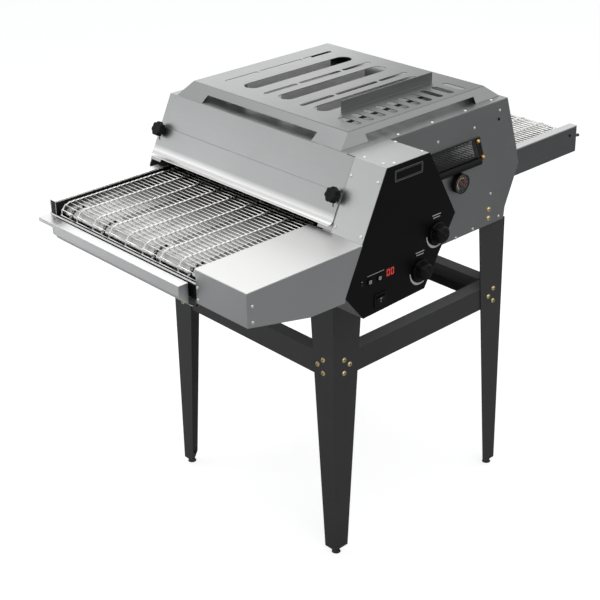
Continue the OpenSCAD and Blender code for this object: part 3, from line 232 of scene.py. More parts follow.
def hexagon(across: float, sides: int = 24) -> Array:
    """Outline of a hexagon by its width across flats, as points at even angles."""
    a = np.arange(sides) * 2 * math.pi / sides
    reach = across / 2 / np.cos(np.mod(a, math.pi / 3) - math.pi / 6)
    return reach[:, None] * np.stack([np.cos(a), np.sin(a)], -1)


# Shading


class Sock:
    """A node socket whose arithmetic adds Math nodes."""

    def __init__(self, shader: Shader, socket: bpy.types.NodeSocket) -> None:
        """Keep the socket and the shader that it belongs to."""
        self.shader, self.socket = shader, socket

    def _math(self, operation: str, other: Any, flipped: bool = False) -> Sock:
        """One Math node of this socket and another value, in either order."""
        a, b = (other, self) if flipped else (self, other)
        return self.shader.node("ShaderNodeMath", {"operation": operation}, {0: a, 1: b})

    def __add__(self, other: Any) -> Sock:
        """Sum."""
        return self._math("ADD", other)

    __radd__ = __add__

    def __mul__(self, other: Any) -> Sock:
        """Product."""
        return self._math("MULTIPLY", other)

    __rmul__ = __mul__

    def __sub__(self, other: Any) -> Sock:
        """Difference."""
        return self._math("SUBTRACT", other)

    def __rsub__(self, other: Any) -> Sock:
        """Difference with this socket taken away."""
        return self._math("SUBTRACT", other, True)

    def __abs__(self) -> Sock:
        """Size without its sign."""
        return self._math("ABSOLUTE", 0.0)

    def clipped(self) -> Sock:
        """The value held between 0 and 1."""
        return self.shader.node("ShaderNodeClamp", {}, {0: self})


class Shader:
    """A material's or world's node tree, written as expressions."""

    def __init__(self, owner: Union[bpy.types.Material, bpy.types.World]) -> None:
        """Start with the owner's tree emptied."""
        owner.use_nodes = True
        self.tree = owner.node_tree
        self.tree.nodes.clear()

    def node(self, kind: str, settings: Optional[dict[str, Any]] = None,
             values: Optional[Values] = None, out: Union[str, int] = 0) -> Sock:
        """Add one node.

        Args:
            kind: Blender's name of the node type.
            settings: Properties, set first.
            values: Socket name or index to a Sock, number, colour or vector.
            out: The output to hand back.

        Returns:
            That output.
        """
        made = self.tree.nodes.new(kind)
        for key, value in (settings or {}).items():
            setattr(made, key, value)
        for key, value in (values or {}).items():
            if isinstance(value, Sock):
                self.tree.links.new(value.socket, made.inputs[key])
            else:
                made.inputs[key].default_value = value
        return Sock(self, made.outputs[out])

    def coords(self) -> Sock:
        """Object coordinates, in metres."""
        return self.node("ShaderNodeTexCoord", out="Object")

    def noise(self, vector: Sock, scale: float, detail: float = 3.0, roughness: float = 0.55) -> Sock:
        """Noise from 0 to 1 over a vector."""
        return self.node("ShaderNodeTexNoise", {}, {"Vector": vector, "Scale": scale, "Detail": detail,
                                                    "Roughness": roughness})

    def stretched(self, vector: Sock, scale: Point) -> Sock:
        """A vector scaled along its axes."""
        return self.node("ShaderNodeMapping", {}, {"Vector": vector, "Scale": scale})

    def part(self, vector: Sock, axis: int) -> Sock:
        """One axis of a vector: 0, 1 or 2 for X, Y or Z."""
        return self.node("ShaderNodeSeparateXYZ", {}, {0: vector}, axis)

    def between(self, share: Any, low: Colour, high: Colour) -> Sock:
        """A colour from low to high by a share."""
        values = {0: share, 6: (*low, 1.0), 7: (*high, 1.0)}
        return self.node("ShaderNodeMix", {"data_type": "RGBA"}, values, 2)

    def over(self, share: Any, under: Sock, colour: Colour) -> Sock:
        """A colour laid over a colour socket by a share."""
        values = {0: share, 6: under, 7: (*colour, 1.0)}
        return self.node("ShaderNodeMix", {"data_type": "RGBA"}, values, 2)

    def step(self, value: Sock, steepness: float) -> Sock:
        """A rise from 0 to 1 where a value passes zero, over one part in the steepness."""
        return (value * steepness).clipped()

    def bump(self, value: Sock, strength: float, depth: float, bend: float = 0.0) -> Sock:
        """A normal raised by a value.

        Args:
            value: The height.
            strength: Share of the effect.
            depth: Depth in metres.
            bend: Radius in metres over which sharp edges are shaded round.

        Returns:
            The normal.
        """
        values: Values = {"Strength": strength, "Distance": depth, "Height": value}
        if bend:
            values["Normal"] = self.node("ShaderNodeBevel", {"samples": 4}, {"Radius": bend})
        return self.node("ShaderNodeBump", {}, values)

    def surface(self, values: Values) -> None:
        """End in a Principled shader with those sockets."""
        self.end(self.node("ShaderNodeBsdfPrincipled", {}, values))

    def end(self, shaded: Sock, kind: str = "ShaderNodeOutputMaterial") -> None:
        """Join a shader to the tree's output."""
        made = self.tree.nodes.new(kind)
        self.tree.links.new(shaded.socket, made.inputs["Surface"])


class Grain(Enum):
    """Direction of a brushed grain: scales that draw noise out along one axis."""

    ALONG_X = (4.0, 900.0, 900.0)
    ALONG_Y = (900.0, 4.0, 900.0)
    ALONG_Z = (900.0, 900.0, 4.0)


def tinted(colour: Colour, share: float) -> Colour:
    """A colour with each channel multiplied by a share."""
    return (colour[0] * share, colour[1] * share, colour[2] * share)


@dataclass(frozen=True)
class Finish:
    """A surface finish; each kind says how it is shaded."""

    name: str
    made: ClassVar[dict[str, bpy.types.Material]] = {}

    def shade(self, s: Shader) -> None:
        """Write the finish into a shader."""
        raise NotImplementedError

    def material(self) -> bpy.types.Material:
        """The finish's material, made once."""
        if self.name not in Finish.made:
            Finish.made[self.name] = bpy.data.materials.new(self.name)
            self.shade(Shader(Finish.made[self.name]))
        return Finish.made[self.name]


@dataclass(frozen=True)
class BrushedSteel(Finish):
    """Sheet steel with a hairline grain, faint clouds and patches of wear."""

    tone: Colour = (0.56, 0.565, 0.57)
    grain: Grain = Grain.ALONG_Y
    roughness: float = 0.36
    hair: float = 0.16
    bend: float = 0.0016

    def hairs(self, s: Shader, at: Sock) -> Sock:
        """Noise drawn out along the grain."""
        return s.noise(s.stretched(at, self.grain.value), 1.0, 4.0, 0.7)

    def brushed(self, s: Shader, share: Sock) -> Sock:
        """The tone, darker and lighter by a share."""
        return s.between(share, tinted(self.tone, 0.84), tinted(self.tone, 1.1))

    def sheet(self, s: Shader, hair: Sock, tone: Sock, gloss: Sock, metal: Any = 1.0) -> None:
        """End in sheet metal with a shallow hairline bump.

        Args:
            s: The shader.
            hair: The hairline noise.
            tone: The colour.
            gloss: What adds to the roughness besides the hairlines.
            metal: Share of bare metal.
        """
        rough = gloss + hair * self.hair + (self.roughness - self.hair / 2)
        s.surface({"Base Color": tone, "Metallic": metal, "Roughness": rough,
                   "Normal": s.bump(hair, 0.12, 0.0002, self.bend)})

    def plain(self, s: Shader, at: Sock) -> tuple[Sock, Sock, Sock]:
        """The hairlines, the tone and the gloss of a clean sheet."""
        hair, cloud, rubbing_and_highlight = self.hairs(s, at), s.noise(at, 5.0, 4.0), s.noise(at, 38.0, 2.0)
        tone = self.brushed(s, (hair * 0.75 + cloud * 0.25).clipped())
        return hair, tone, cloud * 0.12 + rubbing_and_highlight * 0.05 - 0.085

    def shade(self, s: Shader) -> None:
        """Hairline noise drives tone, roughness and a shallow bump."""
        self.sheet(s, *self.plain(s, s.coords()))


@dataclass(frozen=True)
class ShadedSteel(BrushedSteel):
    """Brushed steel darkened towards the chamber: painted shade for the dark under the hood, broken up with
    noise.
    """

    painted_shade: Colour = (0.02, 0.018, 0.016)
    shade_middle_x: float = -0.06
    lit_x: float = 0.4
    shaded_x: float = 0.27
    lean: float = 0.16

    def shade(self, s: Shader) -> None:
        """The distance from the darkest place, leaning with Y and broken up by noise, lays painted shade on
        it.
        """
        at = s.coords()
        hair, shade_noise = self.hairs(s, at), s.noise(at, 16.0, 5.0, 0.6)
        reach = abs(s.part(at, 0) - self.shade_middle_x) - s.part(at, 1) * self.lean
        near = (self.lit_x - reach) * (1 / (self.lit_x - self.shaded_x))
        share = (near + (shade_noise - 0.5) * 0.7).clipped()
        # painted shade laid over the brushed tone
        tone = s.over(share, self.brushed(s, hair), self.painted_shade)
        self.sheet(s, hair, tone, share * 0.3, 1.0 - share * 0.7)


@dataclass(frozen=True)
class VentFins(BrushedSteel):
    """Brushed steel with a slotted top that is darker towards the front as painted shade, over fins painted
    light as a reflection.
    """

    middle: Place = (0.044, 0.068)
    half: Place = (0.19, 0.215)
    skin_z: float = 1.0484
    lit_fin: Colour = (0.88, 0.88, 0.875)
    shade_span: Place = (-0.2, 0.3)

    def shade(self, s: Shader) -> None:
        """Y lays painted shade on what is above the skin's height, and inside the top's outline what is under
        it gets a painted reflection.
        """
        at = s.coords()
        hair, plain, gloss = self.plain(s, at)
        inside = s.step(self.skin_z - s.part(at, 2), 3000.0)
        for axis in (0, 1):
            inside = inside * s.step(self.half[axis] - abs(s.part(at, axis) - self.middle[axis]), 500.0)
        front = s.step(self.shade_span[1] - s.part(at, 1), 1 / (self.shade_span[1] - self.shade_span[0]))
        front_shade = s.step(s.part(at, 2) - self.skin_z, 3000.0) * front * 0.65
        tone = s.over(inside, s.over(front_shade, plain, tinted(self.tone, 0.36)), self.lit_fin)
        self.sheet(s, hair, tone, gloss)


@dataclass(frozen=True)
class PaintedHighlightSteel(BrushedSteel):
    """Brushed steel with a painted highlight below an edge, or above it where the band is negative."""

    edge_z: float = 0.886
    band: float = 0.022
    # colour of the painted highlight, and how its share changes the roughness
    highlight_colour: Colour = (0.78, 0.78, 0.775)
    wear_and_highlight: float = -0.08

    def shade(self, s: Shader) -> None:
        """The height above the edge mixes a painted highlight into the brushed tone."""
        at = s.coords()
        hair, cloud = self.hairs(s, at), s.noise(at, 5.0, 4.0)
        rubbing_and_highlight = (1.0 - (s.part(at, 2) - self.edge_z) * (1 / self.band)).clipped()
        plain = self.brushed(s, (hair * 0.75 + cloud * 0.25).clipped())
        self.sheet(s, hair, s.over(rubbing_and_highlight, plain, self.highlight_colour), cloud * 0.12 + rubbing_and_highlight * self.wear_and_highlight - 0.06)


@dataclass(frozen=True)
class BeltSide(BrushedSteel):
    """Brushed steel whose brim is painted lighter as a highlight and whose face towards the belt is painted
    dark as shade.
    """

    mid_y: float = 0.059
    half: float = 0.2504
    brim_z: float = 0.8662
    lit_brim: Colour = (0.78, 0.783, 0.785)
    painted_shade: Colour = (0.025, 0.024, 0.023)

    def shade(self, s: Shader) -> None:
        """The height marks the brim; faces under it that are nearer to the belt than the skin get painted
        shade.
        """
        at = s.coords()
        hair, cloud = self.hairs(s, at), s.noise(at, 9.0, 4.0)
        low = s.step(self.brim_z - s.part(at, 2), 1500.0)
        share = low * s.step(self.half - abs(s.part(at, 1) - self.mid_y), 4000.0)
        # painted highlight on the brim, then painted shade on faces towards the belt
        wear_and_highlight = s.over(1.0 - low, self.brushed(s, hair), self.lit_brim)
        self.sheet(s, hair, s.over(share, wear_and_highlight, self.painted_shade), cloud * 0.12 + share * 0.15 - 0.06)


@dataclass(frozen=True)
class PowderCoat(Finish):
    """Baked powder paint: fine orange peel, a soft sheen and a dusting towards the floor."""

    tone: Colour = (0.02, 0.02, 0.021)
    roughness: float = 0.5

    def coat(self, s: Shader, at: Sock, tone: Sock, cloud: Sock, dust_and_lit_top: Sock) -> None:
        """End in paint with a fine peel, dulled by clouds and by a share that is dusting on the stand and
        painted light on the rail tops.
        """
        rough = cloud * 0.14 + dust_and_lit_top * 0.2 + (self.roughness - 0.07)
        peel = s.bump(s.noise(at, 620.0, 2.0), 0.25, 0.0004)
        s.surface({"Base Color": tone, "Roughness": rough, "Normal": peel})

    def shade(self, s: Shader) -> None:
        """Slow noise gives clouds, and nearness to the floor gives a dusting."""
        at = s.coords()
        cloud = s.noise(at, 7.0, 4.0)
        dust_and_lit_top = s.step(0.25 - s.part(at, 2), 1.6) * cloud
        share = (cloud * 0.5 + dust_and_lit_top * 0.5).clipped()
        self.coat(s, at, s.between(share, tinted(self.tone, 0.8), tinted(self.tone, 1.7)), cloud, dust_and_lit_top)


@dataclass(frozen=True)
class LitLedgeCoat(PowderCoat):
    """Powder paint with an upper face painted lighter: painted light for the rails' lit top faces."""

    ledge_z: float = 0.54
    lit_top: Colour = (0.2, 0.2, 0.2)

    def shade(self, s: Shader) -> None:
        """What lies at the ledge's height is painted lighter, broken up by noise."""
        at = s.coords()
        cloud = s.noise(at, 7.0, 4.0)
        dust_and_lit_top = s.step(s.part(at, 2) - self.ledge_z, 2000.0) * (cloud * 0.5 + 0.6).clipped()
        paint = s.between(cloud, tinted(self.tone, 0.8), tinted(self.tone, 1.3))
        self.coat(s, at, s.over(dust_and_lit_top, paint, self.lit_top), cloud, dust_and_lit_top)


@dataclass(frozen=True)
class Plating(Finish):
    """Bright plated or turned metal with tiny scratches and tarnish in patches."""

    tone: Colour = (0.75, 0.6, 0.3)
    tarnish: Colour = (0.42, 0.3, 0.12)
    roughness: float = 0.28

    def shade(self, s: Shader) -> None:
        """Patches of tarnish dull the plating."""
        at = s.coords()
        patch = s.noise(at, 160.0, 4.0, 0.6)
        fine = s.noise(at, 1500.0, 2.0)
        wear_and_highlight = ((patch - 0.45) * 3.0).clipped()
        s.surface({"Base Color": s.between(wear_and_highlight, self.tone, self.tarnish), "Metallic": 1.0,
                   "Roughness": wear_and_highlight * 0.18 + fine * 0.1 + (self.roughness - 0.05),
                   "Normal": s.bump(fine, 0.1, 0.0001)})


@dataclass(frozen=True)
class DrawnWire(Finish):
    """Bright drawn wire with a little baked-on tint."""

    tone: Colour = (0.9, 0.9, 0.89)
    tint: Colour = (0.74, 0.72, 0.69)

    def shade(self, s: Shader) -> None:
        """Slow noise gives the heat tint, fine noise the draw marks."""
        at = s.coords()
        tint = s.noise(at, 14.0, 4.0)
        fine = s.noise(at, 900.0, 2.0)
        tone = s.between(((tint - 0.4) * 1.8).clipped(), self.tone, self.tint)
        s.surface({"Base Color": tone, "Metallic": 1.0, "Roughness": fine * 0.14 + tint * 0.1 + 0.14,
                   "Normal": s.bump(fine, 0.08, 0.0001)})


@dataclass(frozen=True)
class ShadedWire(DrawnWire):
    """Drawn wire painted black inside the chamber and left clean at both ends of the belt: painted shade for
    the return run.
    """

    painted_shade: Colour = (0.03, 0.027, 0.024)
    lit_x: float = 0.5
    shaded_x: float = 0.38

    def shade(self, s: Shader) -> None:
        """The distance from the middle, broken up by noise, mixes painted shade over the wire."""
        at = s.coords()
        shade_noise = s.noise(at, 18.0, 4.0)
        near = (self.lit_x - abs(s.part(at, 0))) * (1 / (self.lit_x - self.shaded_x))
        share = (near + (shade_noise - 0.5)).clipped()
        s.surface({"Base Color": s.between(share, self.tone, self.painted_shade), "Metallic": 1.0 - share * 0.6,
                   "Roughness": share * 0.35 + shade_noise * 0.1 + 0.18})


@dataclass(frozen=True)
class Moulding(Finish):
    """Moulded plastic or rubber with a fine spark-eroded texture."""

    tone: Colour = (0.012, 0.012, 0.013)
    roughness: float = 0.45
    texture: float = 0.2
    shine: float = 0.3

    def shade(self, s: Shader) -> None:
        """Fine grain for the moulded texture, slow noise for handling marks."""
        at = s.coords()
        grain = s.noise(at, 1100.0, 2.0)
        handled = s.noise(at, 26.0, 3.0)
        tone = s.between(handled, tinted(self.tone, 0.8), tinted(self.tone, 1.45))
        s.surface({"Base Color": tone, "Roughness": handled * 0.16 + grain * 0.06 + (self.roughness - 0.11),
                   "Normal": s.bump(grain, self.texture, 0.0002), "Specular IOR Level": self.shine})


@dataclass(frozen=True)
class StudFoot(Moulding):
    """A rubber pad and a dark nut under the leg's gusset, with a plated stem and nut above it."""

    plated_z: float = 0.0148
    plating: Colour = (0.7, 0.7, 0.68)

    def shade(self, s: Shader) -> None:
        """Height parts the plated metal above the gusset from what is dark under it."""
        at = s.coords()
        grain = s.noise(at, 900.0, 2.0)
        bare = s.step(s.part(at, 2) - self.plated_z, 2000.0)
        s.surface({"Base Color": s.between(bare, self.tone, self.plating), "Metallic": bare,
                   "Roughness": grain * 0.1 + (self.roughness - 0.05) - bare * 0.3,
                   "Normal": s.bump(grain, self.texture, 0.0002)})


@dataclass(frozen=True)
class Ink(Finish):
    """Screen-printed ink, slightly uneven."""

    tone: Colour = (0.82, 0.82, 0.8)

    def shade(self, s: Shader) -> None:
        """Fine noise breaks up the print."""
        at = s.coords()
        fine = s.noise(at, 900.0, 3.0)
        s.surface({"Base Color": s.between(fine, tinted(self.tone, 0.85), tinted(self.tone, 1.05)),
                   "Roughness": fine * 0.2 + 0.42})


@dataclass(frozen=True)
class Glow(Finish):
    """A lit segment or lamp."""

    tone: Colour = (1.0, 0.05, 0.03)
    power: float = 1.6

    def shade(self, s: Shader) -> None:
        """Emission with a faint unevenness over a tinted lens."""
        at = s.coords()
        fine = s.noise(at, 300.0, 2.0)
        lens = s.between(fine, tinted(self.tone, 0.3), tinted(self.tone, 0.5))
        s.surface({"Base Color": lens, "Roughness": 0.3,
                   "Emission Color": s.between(fine, tinted(self.tone, 0.9), self.tone),
                   "Emission Strength": self.power})


@dataclass(frozen=True)
class Pane(Finish):
    """Tinted heat-proof glass with faint smears."""

    tone: Colour = (0.17, 0.175, 0.175)

    def smears(self, s: Shader, at: Sock) -> Sock:
        """Noise drawn out across the pane."""
        return s.noise(s.stretched(at, (3.0, 1.0, 9.0)), 5.0, 4.0)

    def glass(self, s: Shader, tone: Sock, rough: Sock) -> None:
        """End in glass of that tone and roughness."""
        s.surface({"Base Color": tone, "Roughness": rough, "Transmission Weight": 1.0, "IOR": 1.47})

    def shade(self, s: Shader) -> None:
        """Smears change the tone and the gloss a little."""
        smear = self.smears(s, s.coords())
        tone = s.between(smear, tinted(self.tone, 0.92), tinted(self.tone, 1.05))
        self.glass(s, tone, ((smear - 0.45) * 0.25).clipped() + 0.03)


@dataclass(frozen=True)
class ShadedPane(Pane):
    """Glass painted dark, clearing towards one upper corner: painted shade for the dark chamber behind it."""

    clear: Colour = (0.9, 0.9, 0.89)
    corner: Place = (0.215, 0.945)
    reach: float = 0.12

    def shade(self, s: Shader) -> None:
        """The way along X from the clear corner and half of that along Z, with smears, deepens the painted
        shade.
        """
        at = s.coords()
        away = (self.corner[0] - s.part(at, 0)) + (self.corner[1] - s.part(at, 2)) * 0.5
        pane_shade = (away * (1 / self.reach) + (self.smears(s, at) - 0.5) * 0.5).clipped()
        self.glass(s, s.between(pane_shade, self.clear, self.tone), pane_shade * 0.02)


@dataclass(frozen=True)
class Fibre(Finish):
    """Matted mineral wool."""

    tone: Colour = (0.62, 0.57, 0.46)

    def shade(self, s: Shader) -> None:
        """Drawn-out noise gives the fibres."""
        at = s.coords()
        fibre = s.noise(s.stretched(at, (60.0, 300.0, 300.0)), 1.0, 5.0, 0.7)
        tone = s.between(fibre, tinted(self.tone, 0.6), tinted(self.tone, 1.2))
        s.surface({"Base Color": tone, "Roughness": 0.95, "Normal": s.bump(fibre, 0.6, 0.002)})


COVER_STEEL = BrushedSteel("cover_steel", (0.34, 0.343, 0.346), Grain.ALONG_Y, 0.38)
# painted highlight along the flap's curled lower edge, where light catches the bend
FLAP_STEEL = PaintedHighlightSteel("flap_steel", (0.34, 0.343, 0.346), Grain.ALONG_Y, 0.38)
# Side panels: a darker copy of the cover steel, painted shade for their dimmer reflection
SIDE_STEEL = BrushedSteel("side_steel", (0.3, 0.302, 0.304), Grain.ALONG_X, 0.42)
# painted shade towards the front of the vent top, and a painted reflection on the fins under the slots
VENT_STEEL = VentFins("vent_steel", (0.33, 0.333, 0.336), Grain.ALONG_X, 0.4)
BOX_STEEL = BrushedSteel("box_steel", (0.42, 0.423, 0.426), Grain.ALONG_Z, 0.38)
# painted highlight on the drive cover's top face, lit from above
DRIVE_STEEL = PaintedHighlightSteel("drive_steel", (0.5, 0.503, 0.505), Grain.ALONG_X, 0.38,
                         edge_z=0.8692, band=-0.002, highlight_colour=(0.7, 0.7, 0.695), wear_and_highlight=0.1)
# The rear and front channels are a lit and a shaded copy of one steel, and the front one's top flange is
# painted lighter: painted light and shade.
BRIGHT_SIDE = BeltSide("bright_side", (0.78, 0.783, 0.785), Grain.ALONG_X, 0.34)
SHADE_SIDE = BeltSide("shade_side", (0.19, 0.192, 0.194), Grain.ALONG_X, 0.4,
                      lit_brim=(0.6, 0.602, 0.604))
# painted shade: the end plates go dark below their bead
END_STEEL = BeltSide("end_steel", (0.5, 0.503, 0.506), Grain.ALONG_Y, 0.36, brim_z=0.834,
                     lit_brim=(0.55, 0.553, 0.556))
# painted shade: the tray and the landing plates go dark towards the chamber
TRAY_STEEL = ShadedSteel("tray_steel", (0.74, 0.743, 0.745), Grain.ALONG_Y, 0.34)
LANDING_STEEL = ShadedSteel("landing_steel", (0.46, 0.46, 0.456), Grain.ALONG_Y, 0.3)
LINER_STEEL = BrushedSteel("liner_steel", (0.1, 0.095, 0.09), Grain.ALONG_X, 0.5)
ZINC_SHEET = BrushedSteel("zinc_sheet", (0.32, 0.33, 0.34), Grain.ALONG_X, 0.5)
TURNED_STEEL = Plating("turned_steel", (0.5, 0.5, 0.5), (0.3, 0.28, 0.26), 0.3)
SHEATH = Plating("heater_sheath", (0.3, 0.25, 0.22), (0.18, 0.12, 0.1), 0.4)
SCREW_STEEL = Plating("screw_steel", (0.8, 0.8, 0.79), (0.6, 0.6, 0.58), 0.24)
YELLOW_ZINC = Plating("yellow_zinc", (1.0, 0.85, 0.52), (0.92, 0.66, 0.3), 0.28)
DARK_BOLT = Plating("dark_bolt", (0.17, 0.17, 0.175), (0.1, 0.1, 0.1), 0.34)
BRASS = Plating("brass", (0.78, 0.5, 0.17), (0.45, 0.25, 0.08), 0.26)
STAND_COAT = PowderCoat("stand_coat", (0.045, 0.045, 0.046))
# painted light on the rails' top faces
RAIL_COAT = LitLedgeCoat("rail_coat", (0.045, 0.045, 0.046), ledge_z=0.5335)
MOTOR_PAINT = PowderCoat("motor_paint", (0.09, 0.095, 0.1), 0.4)
BELT_WIRE = DrawnWire("belt_wire")
# painted shade: the return run goes dark inside the chamber
RETURN_WIRE = ShadedWire("return_wire", (0.62, 0.61, 0.6))
PANEL_BLACK = Moulding("panel_black", (0.004, 0.0035, 0.004), 0.4, 0.04, 0.12)
KNOB_BLACK = Moulding("knob_black", (0.005, 0.005, 0.0055), 0.48, 0.18, 0.15)
GLOSS_BLACK = Moulding("gloss_black", (0.006, 0.006, 0.006), 0.2, 0.02, 0.5)
FOOT = StudFoot("levelling_foot", (0.014, 0.014, 0.014), 0.6, 0.3)
SWITCH_CREAM = Moulding("switch_cream", (0.55, 0.52, 0.43), 0.5, 0.1)
DISPLAY_LENS = Moulding("display_lens", (0.05, 0.004, 0.005), 0.16, 0.02, 0.5)
PRINT_WHITE = Ink("print_white", (0.93, 0.93, 0.92))
PRINT_GREY = Ink("print_grey", (0.3, 0.3, 0.31))
PRINT_YELLOW = Ink("print_yellow", (0.72, 0.6, 0.25))
PRINT_RED = Ink("print_red", (0.55, 0.03, 0.02))
RED_GLOW = Glow("red_glow", power=0.9)
# painted shade on the pane for the dark chamber behind it, clearing towards one corner
GLASS = ShadedPane("oven_glass", (0.14, 0.143, 0.143))
LENS = Pane("gauge_lens_glass", (0.96, 0.96, 0.95))
WOOL = Fibre("mineral_wool")

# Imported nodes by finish; the rest have the stand's coat
FINISH_NODES: tuple[tuple[Finish, str], ...] = (
    (ZINC_SHEET, "chassis_rails base_pan motor_bracket"),
    (SIDE_STEEL, "side_panel_front side_panel_rear"),
    (COVER_STEEL, "body_cover outfeed_flap"),
    (FLAP_STEEL, "infeed_flap"),
    (VENT_STEEL, "vent_cover"),
    (BOX_STEEL, "control_box"),
    (DRIVE_STEEL, "drive_cover"),
    (LINER_STEEL, "upper_liner lower_liner"),
    (SHADE_SIDE, "conveyor_side_front"),
    (BRIGHT_SIDE, "conveyor_side_rear"),
    (END_STEEL, "infeed_end_plate outfeed_end_plate"),
    (LANDING_STEEL, "belt_supports"),
    (TRAY_STEEL, "crumb_tray"),
    (WOOL, "insulation"),
    (SHEATH, "upper_heaters lower_heaters"),
    (BELT_WIRE, "belt_upper_run belt_infeed_wrap belt_outfeed_wrap"),
    (RETURN_WIRE, "belt_return_run"),
    (TURNED_STEEL, "drive_shaft idler_shaft motor_sprocket drive_chain"),
    (MOTOR_PAINT, "shaft_bearings gearmotor"),
    (DARK_BOLT, "belt_tensioners"),
    (YELLOW_ZINC, "stand_bolts"),
    (BRASS, "dome_nuts"),
    (RAIL_COAT, "stand_rails_long stand_rails_cross"),
    (FOOT, "levelling_feet"),
    (PANEL_BLACK, "control_panel"),
    (KNOB_BLACK, "heat_knob speed_knob plus_button minus_button switch_frame rocker window_sill thermometer"),
    (KNOB_BLACK, "infeed_knob_front infeed_knob_rear outfeed_knob_front outfeed_knob_rear"),
    (SWITCH_CREAM, "rotary_switches terminal_block"),
    (DISPLAY_LENS, "display_module"),
    (GLASS, "window_glass"),
    (PRINT_RED, "thermometer_needle"),
)
NODE_FINISH: dict[str, Finish] = {node: finish for finish, nodes in FINISH_NODES for node in nodes.split()}


# Pieces


@dataclass
class Bench:
    """Where surfaces become pieces that ride on the frame's bodies."""

    middle: Array = field(default_factory=lambda: Bench.body_middle())

    @staticmethod
    def body_middle() -> Array:
        """The floor point under the middle of the body, in millimetres of the row frame."""
        vent, front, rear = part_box("vent_cover"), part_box("side_panel_front"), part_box("side_panel_rear")
        return np.array([(vent[0].x + vent[1].x) / 2, (front[0].y + rear[1].y) / 2, 0.0]) / MM

    def span(self, node: str) -> Array:
        """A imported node's low and high corners (2, 3), in millimetres of the body's axes."""
        return np.array([list(corner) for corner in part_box(node)]) / MM - self.middle

    def dress_nodes(self) -> None:
        """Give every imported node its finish."""
        for name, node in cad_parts.items():
            finish = NODE_FINISH.get(name, STAND_COAT)
            node.data.materials.clear()
            node.data.materials.append(finish.material())
        LOG.info("dressed %d nodes", len(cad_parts))

    def piece(self, name: str, surface: Surface, finish: Finish, body: str = ROOT,
              replaces: Sequence[str] = (), sharp: float = 35.0) -> bpy.types.Object:
        """Make one piece of the visual model.

        Args:
            name: The piece's name.
            surface: Its skin, in millimetres of the body's axes.
            finish: Its finish.
            body: The body that it rides on.
            replaces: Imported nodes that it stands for.
            sharp: Angle in degrees above which an edge is shaded sharp.

        Returns:
            The piece.
        """
        mesh = bpy.data.meshes.new(name)
        mesh.from_pydata(((surface.points + self.middle) * MM).tolist(), [],
                         surface.quads.tolist() + surface.tris.tolist())
        mesh.polygons.foreach_set("use_smooth", np.ones(len(mesh.polygons), bool))
        mesh.set_sharp_from_angle(angle=math.radians(sharp))
        mesh.materials.append(finish.material())
        made = bpy.data.objects.new(name, mesh)
        bpy.context.scene.collection.objects.link(made)
        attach(made, body)
        if replaces:
            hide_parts(*replaces)
        LOG.info("piece %s: %d faces", name, len(mesh.polygons))
        return made


